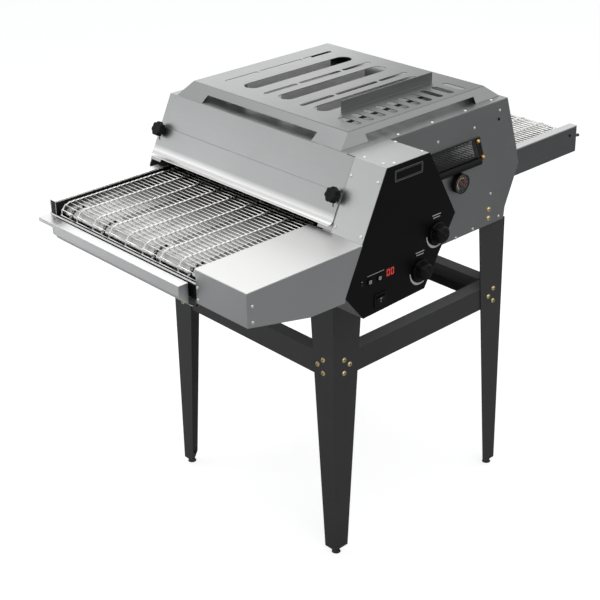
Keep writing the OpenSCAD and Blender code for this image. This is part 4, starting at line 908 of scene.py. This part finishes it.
@dataclass
class WireBelt:
    """Endless belt of wire strands, each hooked round the next one in every row."""

    pitch: float = 12.7
    gaps: int = 91
    wire_r: float = 1.3
    hook_r: float = 0.75
    rows: int = 9
    width: float = 486.0
    offset: float = -9.0
    drive_x: float = -617.0
    top: float = 860.0
    teeth: int = 12
    leg_gap: float = 2.6

    def strand(self) -> Surface:
        """One strand along Y: straight lengths joined by hooks that reach the next strand and curl under it.

        Returns:
            The strand at the origin, with the next strand one pitch along X.
        """
        p, g, edge = self.pitch, self.leg_gap / 2, self.width / 2
        curl = self.wire_r + self.hook_r + 0.2
        over = np.array([[0, 0], [2.2, 0.9], [p - curl, 1.7], [p - 0.4, curl], [p + curl * 0.75, curl * 0.66],
                         [p + curl, -0.2], [p + curl * 0.55, -curl * 0.85]])
        out = np.column_stack([over[:, 0], np.full(len(over), -g), over[:, 1]])
        back = out[::-1] * [1, -1, 1]
        out[0, 1] -= 0.9
        back[-1, 1] += 0.9
        tip = (out[-1] + back[0]) / 2 + [-0.9, 0, -0.5]
        hook = np.vstack([out, tip, back])
        thick = np.full(len(hook), self.hook_r)
        thick[[0, -1]] = self.wire_r
        ys = np.linspace(-edge + self.wire_r + g, edge - self.wire_r - g, self.rows)
        path = (hook[None] + np.stack([0 * ys, ys, 0 * ys], -1)[:, None]).reshape(-1, 3)
        path = np.vstack([[0, -edge, 0], path, [0, edge, 0]])
        return self.wire(path, np.concatenate([[self.wire_r], np.tile(thick, self.rows), [self.wire_r]]))

    def wire(self, path: Array, radii: Array) -> Surface:
        """A round wire along a path, its rings set out from Z, or from Y where the path climbs.

        Args:
            path: Points (n, 3).
            radii: Radius of the wire at each point (n,).

        Returns:
            The wire's skin.
        """
        t = unit(np.vstack([path[1:2] - path[:1], path[2:] - path[:-2], path[-1:] - path[-2:-1]]))
        helper = np.where(np.abs(t[:, 2:]) < 0.8, [[0.0, 0.0, 1.0]], [[0.0, 1.0, 0.0]])
        u = unit(helper - (helper * t).sum(-1, keepdims=True) * t)
        v = np.cross(t, u)
        ring = radii[:, None, None] * circle(1.0, 6)
        return loft(path[:, None] + ring[..., :1] * u[:, None] + ring[..., 1:] * v[:, None])

    def loop(self) -> tuple[Array, Array]:
        """Strand places round the whole belt and the direction from each to the next.

        Returns:
            Points (n, 2) in X and Z, and unit directions (n, 2).
        """
        radius = self.pitch / (2 * math.sin(math.pi / self.teeth))
        x = self.drive_x + np.arange(self.gaps + 1) * self.pitch
        upper = np.stack([x, np.full_like(x, self.top)], -1)
        lower = np.stack([x[::-1], np.full_like(x, self.top - 2 * radius)], -1)
        turn = np.arange(1, self.teeth // 2) * 2 * math.pi / self.teeth
        bow = radius * np.stack([np.sin(turn), np.cos(turn)], -1)
        axle_z = self.top - radius
        places = np.vstack([upper, [x[-1], axle_z] + bow, lower, [x[0], axle_z] - bow])
        return places, unit(np.roll(places, -1, axis=0) - places)

    def build(self, bench: Bench) -> None:
        """Make the two runs and the two wraps."""
        places, ahead = self.loop()
        strand = self.strand()
        across = np.zeros((len(places), 3)) + [0.0, 1.0, 0.0]
        along = np.stack([ahead[:, 0], 0 * ahead[:, 0], ahead[:, 1]], -1)
        turns = np.stack([along, across, np.cross(along, across)], -1)
        moves = np.stack([places[:, 0], np.full(len(places), self.offset), places[:, 1]], -1)
        n, w = self.gaps + 1, self.teeth // 2 - 1
        first = 0
        for name, count in (("belt_upper_run", n), ("belt_outfeed_wrap", w), ("belt_return_run", n),
                            ("belt_infeed_wrap", w)):
            share = slice(first, first + count)
            bench.piece("wire_" + name, strand.copied(turns[share], moves[share]), NODE_FINISH[name],
                        replaces=[name], sharp=60.0)
            first += count


@dataclass
class Screws:
    """Pan-head cross screws on the sheets, and black plugs in spare holes."""

    head_r: float = 3.6
    head_h: float = 1.9
    cross_half: float = 0.15
    cross_reach: float = 0.63
    cross_depth: float = 0.9
    side_xz: tuple[Place, ...] = ((238, 995), (23, 972), (148, 974), (216, 791), (155, 718), (94, 714),
                                  (250, 723), (-40, 716), (-140, 985))
    deck_xy: tuple[Place, ...] = ((11, -292), (123, -292), (223, -285), (-100, -292))
    box_xy: tuple[Place, ...] = ((-251, -339), (-250, -392), (-233, -406), (-141, -400), (-138, -320))
    slope_yz: tuple[Place, ...] = ((-329, 985), (-405, 990), (-406, 884), (-330, 884))
    drive_front_xz: tuple[Place, ...] = ((-640, 838), (-640, 803))
    drive_end: float = -653.5
    drive_end_yz: tuple[Place, ...] = ((-267, 831), (-267, 804))
    side_plug: Place = (236, 974)
    channel_plug: Place = (546, 848)

    def head(self) -> Surface:
        """A dome with a cross pressed into it.

        The height is a flattened dome over the radius, less a cross whose half width and reach are shares of
        the radius.

        Returns:
            The head, standing on the origin along the third axis.
        """
        share = np.array([1.0, 0.98, 0.86, 0.66, 0.6, 0.44, 0.3, 0.14])[:, None]
        a = (np.arange(32) * math.pi / 16)[None, :]
        x, y = share * np.cos(a), share * np.sin(a)
        dome = self.head_h * np.sqrt(np.clip(1 - (share * 0.93) ** 2, 0, 1)) ** 0.7
        near, far = np.minimum(abs(x), abs(y)), np.maximum(abs(x), abs(y))
        cross = (near < self.cross_half) & (far < self.cross_reach)
        z = np.where(cross, dome - self.cross_depth, dome)
        rings = np.stack([x * self.head_r, y * self.head_r, z], -1)
        return loft(np.concatenate([rings[:1] * [1, 1, 0], rings]))

    def spots(self, bench: Bench) -> list[Spot]:
        """Every place that has such a screw.

        Args:
            bench: The bench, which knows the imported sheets' planes.

        Returns:
            The places with their outward directions.
        """
        side, deck = bench.span("side_panel_rear")[1, 1], bench.span("body_cover")[1, 2]
        front = bench.span("drive_cover")[0, 1]
        out = [Spot((x, s * side, z), (0, s, 0)) for s in (-1, 1) for x, z in self.side_xz]
        out += [Spot((x, s * y, deck), (0, 0, 1), (0, 1, 0)) for x, y in self.deck_xy for s in (1, -1)]
        out += [Spot((x, y, deck), (0, 0, 1), (0, 1, 0)) for x, y in self.box_xy]
        out += [Spot((-DECK_HALF - IN_SLOPE * (deck - z), y, z), (-1, 0, IN_SLOPE)) for y, z in self.slope_yz]
        out += [Spot((x, front, z), (0, -1, 0)) for x, z in self.drive_front_xz]
        return out + [Spot((self.drive_end, y, z), (-1, 0, 0)) for y, z in self.drive_end_yz]

    def plugs(self, bench: Bench) -> list[Spot]:
        """The spare holes in both side panels and in the front channel."""
        (x, z), side = self.side_plug, bench.span("side_panel_rear")[1, 1]
        channel = bench.span("conveyor_side_front")[0, 1]
        out = [Spot((x, s * side, z), (0, s, 0)) for s in (-1, 1)]
        return out + [Spot((self.channel_plug[0], channel, self.channel_plug[1]), (0, -1, 0))]

    def build(self, bench: Bench) -> None:
        """Make all the screws as one piece, and all the plugs."""
        head = self.head()
        screws = Surface.joined(head.at(s) for s in self.spots(bench))
        bench.piece("sheet_screws", screws, SCREW_STEEL)
        plugs = Surface.joined(head.at(s) for s in self.plugs(bench))
        bench.piece("hole_plugs", plugs, KNOB_BLACK)


@dataclass
class ControlFace:
    """Prints, lit digits and knobs on the control panel."""

    plane: float = -418.0
    print_depth: float = 0.25
    heat: Place = (-108.0, 828.0)
    speed: Place = (-159.0, 756.0)
    display: Place = (-253.0, 783.0)
    buttons: tuple[Place, Place] = ((-287.0, 780.0), (-316.0, 780.0))
    button_rise: float = 2.5
    lamp: Place = (-339.0, 780.0)
    rocker: Place = (-284.0, 729.0)
    rocker_tilt: float = 8.0
    rocker_half: float = 8.5
    rocker_face: float = 5.2
    rocker_dip: float = 0.153
    rocker_in: float = 3.0
    plate: Place = (-201.0, 996.0)
    plate_rise: float = 1.0
    knob_r: float = 25.0
    pointer: float = 50.0
    arc_gap: float = 7.5
    arc_span: Place = (182.0, 318.0)
    arc_width: Point = (2.2, 5.8, 1.2)
    bars: tuple[Place, ...] = ((27.0, 43.0), (22.0, 37.0))
    bar_width: float = 2.0
    bar_shift: float = -2.0
    rule_up: float = 14.0
    fine_width: float = 1.0

    def stroke(self, path: Array, width: Union[float, Array], lift: float = 0.0) -> Surface:
        """A flat printed stroke on the panel.

        Args:
            path: Points (n, 2) in X and Z.
            width: Width of the stroke, one value or one per point.
            lift: Height of its back above the panel plane.

        Returns:
            The stroke as a thin closed bar.
        """
        n, thick = len(path), self.print_depth
        full = np.column_stack([path[:, 0], np.full(n, self.plane - lift - thick / 2), path[:, 1]])
        scale = np.stack([np.full(n, thick), np.broadcast_to(width, (n,))], -1)
        return sweep(full, strip(1.0, 1.0) * scale[:, None], (0, -1, 0))

    def line(self, x0: float, z0: float, x1: float, z1: float, width: float, lift: float = 0.0) -> Surface:
        """A straight stroke between two places."""
        return self.stroke(np.linspace((x0, z0), (x1, z1), 2), width, lift=lift)

    def prints(self) -> Surface:
        """White marks: scale arcs and bars at the knobs, the line over the keys and the lamp's dash."""
        marks: list[Surface] = []
        first, widest, last = self.arc_width
        taper = np.concatenate([np.linspace(first, widest, 14), np.linspace(widest, last, 19)[1:]])
        for x, z in (self.heat, self.speed):
            path = arc((x, z), self.knob_r + self.arc_gap, *self.arc_span, len(taper) - 1)
            marks.append(self.stroke(path, taper))
            for length, up in self.bars:
                left = x + self.bar_shift - length / 2
                marks.append(self.line(left, z + up, left + length, z + up, self.bar_width))
        (plus_x, z), (minus_x, _) = self.buttons
        marks.append(self.line(minus_x - 7, z + self.rule_up, plus_x + 14, z + self.rule_up, self.fine_width))
        x, z = self.lamp
        marks.append(self.line(x - 2, z + 7, x + 2, z + 7, self.fine_width))
        return Surface.joined(marks)

    def key_sign(self, at: Place, upright: bool) -> Surface:
        """A framed sign on a key's face.

        Args:
            at: The key's place in X and Z.
            upright: Whether an upright stroke makes a plus of the minus.

        Returns:
            The frame and the sign.
        """
        (x, z), arm, wide = at, 1.6, 1.3
        paths = [closed(rounded_rect(6.4, 6.4, 1.2)) + at, np.array([[x - arm, z], [x + arm, z]])]
        if upright:
            paths.append(np.array([[x, z - arm], [x, z + arm]]))
        return Surface.joined(self.stroke(path, wide, lift=self.button_rise) for path in paths)

    def rocker_signs(self) -> Surface:
        """A ring and a bar on the two halves of the rocker, laid on its leaning face.

        Returns:
            The two signs.
        """
        lean = math.radians(self.rocker_tilt)
        signs: list[Surface] = []
        for half, mark in ((1, circle(2.2, 24)), (-1, np.array([[0.0, -2.4], [0.0, 2.4]]))):
            path = closed(mark) if len(mark) > 2 else mark
            across, up = path[:, 0], path[:, 1] + half * self.rocker_half / 2
            out = -self.rocker_face - 0.15 - self.rocker_half / 2 * self.rocker_dip
            y = self.plane + self.rocker_in + out * math.cos(lean) - up * math.sin(lean)
            z = self.rocker[1] + out * math.sin(lean) + up * math.cos(lean)
            full = np.column_stack([self.rocker[0] + across, y, z])
            signs.append(sweep(full, strip(0.24, 1.0), (0, -1, 0)))
        return Surface.joined(signs)

    def digits(self) -> Surface:
        """Two seven-segment digits on the display lens."""
        strokes: list[Surface] = []
        high, half, wide, sunk = 7.0, 3.6, 1.5, -0.5
        for shift in (-6.3, 6.3):
            x, z = self.display[0] + shift, self.display[1]
            for side in (-1, 1):
                level, post = z + side * high, x + side * half
                strokes.append(self.line(x - half + 0.6, level, x + half - 0.6, level, wide, sunk))
                for end in (-1, 1):
                    strokes.append(self.line(post, z + end * 0.7, post, z + end * (high - 0.4), wide, sunk))
        return Surface.joined(strokes)

    def plate_frame(self) -> Surface:
        """A fine double frame round the bare plate."""
        rings = ((rounded_rect(84, 24, 2.5), 1.1), (rounded_rect(78, 18, 1.5), 0.6))
        return Surface.joined(self.stroke(closed(ring) + self.plate, wide, lift=self.plate_rise)
                              for ring, wide in rings)

    def knob(self, at: Place) -> Surface:
        """A knob: a turned skirt, a fluted grip with a soft crown, and a pointer wing with rounded edges.

        The flutes swell the grip by the size of a cosine of ten times the angle.

        Args:
            at: The knob's place in X and Z.

        Returns:
            The knob's skin.
        """
        r = self.knob_r
        skirt = turned([(r * 0.92, 1.0), (r, 1.8), (r, 4.2), (r * 0.96, 5.6), (r * 0.6, 6.6)], 48)
        a = np.arange(96) * 2 * math.pi / 96
        flutes = np.stack([np.cos(a), np.sin(a)], -1) * (1.0 + 0.035 * np.abs(np.cos(10 * a)))[:, None]
        sides = [flutes * r * share for share in (0.8, 0.78, 0.75, 0.72)]
        crown = [circle(r * share, 96) for share in (0.66, 0.5, 0.2)]
        grip = stacked(sides + crown, (6.0, 9.0, 17.5, 20.4, 22.2, 22.8, 23.0))
        wings = ((38, 8.2), (38, 8.2), (37, 7.6), (34, 5.4))
        outlines = [rounded_rect(w, d, d / 2 - 0.01, 5) + [11.5, 0] for w, d in wings]
        wing = stacked(outlines, (5.0, 21.5, 23.4, 24.2))
        lean = math.radians(self.pointer)
        up = (-math.sin(lean), 0, math.cos(lean))
        return Surface.joined([skirt, grip, wing]).at(Spot((at[0], self.plane, at[1]), (0, -1, 0), up))

    def build(self, bench: Bench) -> None:
        """Make the prints, the lit digits, the plate's frame and the two knobs."""
        bench.piece("panel_prints", self.prints(), PRINT_WHITE)
        for name, at in zip(("plus_button", "minus_button"), self.buttons):
            sign = self.key_sign(at, name == "plus_button")
            bench.piece(name + "_sign", sign, PRINT_WHITE, name)
        bench.piece("rocker_signs", self.rocker_signs(), PRINT_WHITE, "rocker")
        bench.piece("display_digits", self.digits(), RED_GLOW)
        bench.piece("plate_frame", self.plate_frame(), PRINT_GREY)
        for name, at in (("heat_knob", self.heat), ("speed_knob", self.speed)):
            bench.piece(name + "_grip", self.knob(at), KNOB_BLACK, name, [name])


@dataclass
class StandBolts:
    """Washers, chamfered hexagon heads and nuts that hold the stand together."""

    bolt_r: float = 2.5
    leg_x: Place = (-298.0, 290.0)
    leg_y: float = 288.0
    panel_y: float = 300.0
    rail_z: float = 505.0
    rail_stack: float = 4.5
    pattern: tuple[Place, ...] = ((33.0, 17.0), (51.0, 0.0), (33.0, -17.0))
    tab_inset: float = 78.0
    tab_z: Place = (729.0, 752.0)
    tab_stack: float = 14.5

    def bolt(self, stack: float) -> Surface:
        """One bolt through a stack of sheets: the head stands on the origin, the nut is behind the stack.

        Args:
            stack: Thickness of the sheets that it holds.

        Returns:
            Washer, head with a sunk middle, shank and nut.
        """
        r = self.bolt_r
        flat, high = r * 3.4, r * 1.35
        washer = turned([(r * 2.3, 0.0), (r * 2.4, 0.3), (r * 2.4, 0.9), (r * 2.3, 1.2)], 24)
        flats, face = hexagon(flat), circle(flat * 0.47, 24)
        chamfer = np.minimum(1.0, flat * 0.56 / np.linalg.norm(flats, axis=1))[:, None] * flats
        sunk = [circle(r * share, 24) for share in (0.95, 0.9, 0.2)]
        head = stacked([flats, chamfer, face] + sunk, [1.2, high - 0.6, high, high, high - 1.0, high - 1.0])
        nut = stacked([face, flats, flats], [-stack - r * 1.4, -stack - r, -stack])
        shank = turned([(r * 0.8, -stack - r * 1.6), (r, -stack - r * 1.4), (r, 0.6)], 16)
        return Surface.joined([washer, head, nut, shank])

    def plug(self) -> Surface:
        """A dark disc in the sunk middle of a head: painted shade for the recess."""
        r, high = self.bolt_r, self.bolt_r * 1.35
        return turned([(r * 0.9, high - 0.95), (r * 0.93, high - 0.15), (r * 0.4, high - 0.4)], 16)

    def build(self, bench: Bench) -> None:
        """Put a bolt in every hole of the legs."""
        rails: list[Spot] = []
        tabs: list[Spot] = []
        for end, x in zip((-1, 1), self.leg_x):
            for side in (-1, 1):
                for a, b in self.pattern:
                    rails.append(Spot((x - end * a, side * self.leg_y, self.rail_z + b), (0, side, 0)))
                    rails.append(Spot((x, side * (self.leg_y - a), self.rail_z + b), (end, 0, 0)))
                for z in self.tab_z:
                    tabs.append(Spot((x - end * self.tab_inset, side * self.panel_y, z), (0, side, 0)))
        rail, tab, plug = self.bolt(self.rail_stack), self.bolt(self.tab_stack), self.plug()
        bolts = Surface.joined([rail.at(s) for s in rails] + [tab.at(s) for s in tabs])
        bench.piece("leg_bolts", bolts, YELLOW_ZINC, replaces=["stand_bolts"])
        # painted shade in the heads' recesses
        recess_shade = Surface.joined(plug.at(s) for s in rails + tabs)
        bench.piece("bolt_recess_shade", recess_shade, KNOB_BLACK)


@dataclass
class ClampKnobs:
    """Lobed knobs that clamp the heat flaps on the end faces."""

    radius: float = 18.0
    lobes: int = 7
    top_z: float = 1020.0
    base: float = 1.7
    slopes: tuple[tuple[str, int, float, float], ...] = (("infeed", -1, IN_SLOPE, 89.2),
                                                         ("outfeed", 1, OUT_SLOPE, 87.4))

    def knob(self) -> Surface:
        """A knob on the origin: lobes run round it as a cosine of the angle that fades towards the middle.

        Returns:
            Head, neck and stud.
        """
        shares = np.array([0.5, 0.86, 0.97, 1.0, 1.0, 0.97, 0.88, 0.7, 0.5, 0.46, 0.1])[:, None]
        heights = np.array([7.0, 7.0, 7.7, 9.2, 18.6, 20.6, 21.6, 22.0, 21.8, 21.2, 21.2])[:, None]
        a = np.arange(84)[None, :] * 2 * math.pi / 84
        reach = self.radius * shares * (0.93 + 0.07 * shares ** 3 * np.cos(self.lobes * a))
        head = loft(np.stack([reach * np.cos(a), reach * np.sin(a), heights + 0 * a], -1))
        neck = turned([(self.radius * 0.6, 0.0), (self.radius * 0.6, 7.2)])
        stud = turned([(3.4, -14.0), (4.0, -13.2), (4.0, 0.5)], 20)
        return Surface.joined([head, neck, stud])

    def build(self, bench: Bench) -> None:
        """Put a knob on each end of each flap."""
        for place, end, slope, down in self.slopes:
            long = math.hypot(1.0, slope)
            out = (end / long, 0.0, slope / long)
            for side in ("front", "rear"):
                name = "%s_knob_%s" % (place, side)
                y = bench.span(name)[:, 1].mean()
                x = end * (DECK_HALF + (slope * down + self.base) / long)
                z = self.top_z - (down - slope * self.base) / long
                grip = self.knob().at(Spot((x, y, z), out))
                bench.piece(name + "_grip", grip, KNOB_BLACK, name, [name])


@dataclass
class WindowNuts:
    """Brass dome nuts at the corners of the pane."""

    places: tuple[Place, ...] = ((-46.0, 897.0), (176.0, 897.0), (-26.0, 941.0), (156.0, 941.0))

    def build(self, bench: Bench) -> None:
        """Stand each nut on the pane."""
        plane = bench.span("window_glass")[0, 1]
        depth = bench.span("dome_nuts")[1, 1] - plane
        dome = [(4.3 * math.cos(t), 3.2 + 3.8 * math.sin(t)) for t in np.radians(np.linspace(0, 86, 7))]
        cap = turned(dome, 24)
        base = stacked([hexagon(9.2), hexagon(9.6), hexagon(9.6), circle(4.6, 24)], [0.0, 0.3, 2.6, 3.3])
        stud = turned([(2.0, -depth), (2.0, 0.5)], 16)
        nut = Surface.joined([base, cap, stud])
        spots = [Spot((x, plane, z), (0, -1, 0)) for x, z in self.places]
        bench.piece("window_dome_nuts", Surface.joined(nut.at(s) for s in spots), BRASS,
                    replaces=["dome_nuts"])


@dataclass
class Gauge:
    """Dial face, bezel and lens of the thermometer."""

    at: Place = (96.0, 854.0)
    front: float = -314.0
    radius: float = 24.0
    dial_r: float = 21.5
    recess: float = 4.0
    print_depth: float = 0.2
    print_lift: float = 0.42
    band_r: float = 13.33
    band_width: float = 3.0
    ticks: int = 15
    first_tick: float = -130.0
    tick_step: float = 20.0
    tick_width: float = 0.8

    def spot(self, lift: float) -> Spot:
        """The dial's axis at a height above the dial face."""
        return Spot((self.at[0], self.front + self.recess - lift, self.at[1]), (0, -1, 0))

    def printed(self, path: Array, width: float) -> Surface:
        """A flat printed stroke along a path (n, 2) on the dial."""
        flat = np.column_stack([path, np.zeros(len(path))])
        return sweep(flat, strip(self.print_depth, width), (0, 0, 1)).at(self.spot(self.print_lift))

    def band(self, start: float, end: float) -> Surface:
        """A coloured band between two angles in degrees from the top."""
        path = arc((0.0, 0.0), self.band_r, start, end, int((end - start) / 6))
        return self.printed(path, self.band_width)

    def build(self, bench: Bench) -> None:
        """Make the dial's prints, the bezel ring and the lens."""
        r, rim, h = self.dial_r, self.radius, self.recess
        disc = turned([(r - 0.2, 0.0), (r - 0.2, 0.25), (2.4, 0.25)], 40).at(self.spot(0.05))
        bench.piece("gauge_face", disc, PANEL_BLACK)
        bench.piece("gauge_yellow_band", self.band(-40.0, 150.0), PRINT_YELLOW)
        bench.piece("gauge_red_band", self.band(-130.0, -46.0), PRINT_RED)
        ticks: list[Surface] = []
        for k in range(self.ticks):
            a = math.radians(self.first_tick + self.tick_step * k)
            reach = np.array([[0.78], [0.94 if k % 2 == 0 else 0.87]]) * r
            ticks.append(self.printed(reach * [math.cos(a), math.sin(a)], self.tick_width))
        bench.piece("gauge_ticks", Surface.joined(ticks), PRINT_WHITE)
        profile = np.array([[r + 0.1, h - 1.0], [rim + 0.5, h - 1.0], [rim + 0.5, h + 0.2],
                            [rim - 0.6, h + 1.0], [r + 0.6, h + 0.9], [r + 0.1, h + 0.2]])
        around = closed(circle(1.0, 48))[:, None]
        heights = np.broadcast_to(profile[:, 1:], (len(around), len(profile), 1))
        rings = np.concatenate([around * profile[:, :1], heights], -1)
        bench.piece("gauge_bezel", loft(rings, False).at(self.spot(0.0)), GLOSS_BLACK)
        lens = turned([(r, 0.0), (r, 0.3), (r * 0.6, 0.45), (r * 0.1, 0.5)], 40).at(self.spot(h - 0.5))
        bench.piece("gauge_lens", lens, LENS)


@dataclass
class Studio:
    """Camera, lamps, floor and background."""

    eye: Point = (-2158.4, -2213.95, 2027.29)
    right: Point = (0.73484496, -0.67793713, -0.02010301)
    down: Point = (-0.29012695, -0.28741326, -0.91280884)
    ahead: Point = (0.61304913, 0.6766054, -0.40789202)
    lens: float = 81.82
    shift: Place = (0.0124, -0.10)
    floor_size: float = 28.0
    floor_glow: float = 0.8
    sky: float = 0.22

    def stand(self, data: bpy.types.ID, axes: Array, at: Union[Point, Array]) -> bpy.types.Object:
        """Put an object in the scene.

        Args:
            data: The camera, lamp or mesh, whose name the object takes.
            axes: Its unit axes as columns.
            at: Its place in metres.

        Returns:
            The object.
        """
        made = bpy.data.objects.new(data.name, data)
        place = np.eye(4)
        place[:3, :3], place[:3, 3] = axes, at
        made.matrix_world = Matrix(place.tolist())
        bpy.context.scene.collection.objects.link(made)
        return made

    def camera(self, bench: Bench) -> None:
        """Stand the camera at the photograph's viewing angle."""
        data = bpy.data.cameras.new("camera")
        data.sensor_width, data.lens = 36.0, self.lens
        data.shift_x, data.shift_y = self.shift
        data.clip_end = 100.0
        axes = np.stack([self.right, -np.array(self.down), -np.array(self.ahead)], 1)
        bpy.context.scene.camera = self.stand(data, axes, (np.array(self.eye) + bench.middle) * MM)

    def lamp(self, name: str, at: Point, aim: Point, size: Place, power: float) -> None:
        """A soft rectangular lamp that the camera doesn't see, places in metres."""
        data = bpy.data.lights.new(name, "AREA")
        data.shape, data.size, data.size_y, data.energy = "RECTANGLE", size[0], size[1], power
        back = unit(np.array(at) - np.array(aim))
        across = unit(np.cross((0.0, 0.0, 1.0), back))
        made = self.stand(data, np.stack([across, np.cross(back, across), back], 1), at)
        made.visible_camera = False

    def floor(self) -> None:
        """A wide pale floor that keeps the shadow and runs out to white for the camera."""
        made = bpy.data.materials.new("studio_floor")
        shader = Shader(made)
        seen = shader.node("ShaderNodeLightPath", out="Is Camera Ray")
        grain = shader.noise(shader.coords(), 3.0, 2.0)
        tone = shader.between(grain, (0.78, 0.78, 0.78), (0.8, 0.8, 0.8))
        pale = shader.node("ShaderNodeBsdfDiffuse", {}, {"Color": tone})
        white = shader.node("ShaderNodeEmission", {}, {"Strength": self.floor_glow})
        lit = shader.node("ShaderNodeAddShader", {}, {0: pale, 1: white})
        shader.end(shader.node("ShaderNodeMixShader", {}, {0: seen, 1: pale, 2: lit}))
        mesh = bpy.data.meshes.new("floor")
        corners = np.column_stack([strip(self.floor_size, self.floor_size), np.zeros(4)])
        mesh.from_pydata(corners.tolist(), [], [(0, 1, 2, 3)])
        mesh.materials.append(made)
        floor = self.stand(mesh, np.eye(3), np.zeros(3))

    def world(self) -> None:
        """A white background for the camera, metal and glass, and a softer light for the rest."""
        world = bpy.data.worlds.new("studio")
        bpy.context.scene.world = world
        shader = Shader(world)
        rays = [shader.node("ShaderNodeLightPath", out="Is %s Ray" % kind)
                for kind in ("Camera", "Glossy", "Transmission")]
        seen = (rays[0] + rays[1] + rays[2]).clipped()
        soft, white = (shader.node("ShaderNodeBackground", {}, {"Color": (*tone, 1.0), "Strength": strength})
                       for tone, strength in (((0.95, 0.97, 1.0), self.sky), ((1.0, 1.0, 1.0), 1.0)))
        mixed = shader.node("ShaderNodeMixShader", {}, {0: seen, 1: soft, 2: white})
        shader.end(mixed, "ShaderNodeOutputWorld")

    def build(self, bench: Bench) -> None:
        """Set up the whole studio."""
        scene = bpy.context.scene
        scene.view_settings.view_transform = "Standard"
        self.camera(bench)
        self.world()
        self.floor()
        self.lamp("top_lamp", (0.4, 0.4, 3.4), (0.0, 0.0, 0.9), (3.0, 2.4), 22.0)
        self.lamp("back_lamp", (1.3, 2.1, 2.0), (-0.3, -0.2, 0.9), (1.4, 1.0), 4.0)
        self.lamp("left_lamp", (-1.9, 1.8, 0.85), (-0.45, 0.05, 0.85), (1.3, 1.5), 6.8)
        self.lamp("front_lamp", (-1.2, -2.6, 3.0), (0.0, -0.1, 0.6), (2.2, 1.6), 14.0)


def main() -> None:
    """Dress the oven and light it."""
    logging.basicConfig(level=logging.INFO, format="%(name)s: %(message)s")
    bench = Bench()
    Studio().build(bench)
    bench.dress_nodes()
    WireBelt().build(bench)
    Screws().build(bench)
    ControlFace().build(bench)
    StandBolts().build(bench)
    ClampKnobs().build(bench)
    WindowNuts().build(bench)
    Gauge().build(bench)


if __name__ == "__main__":
    main()
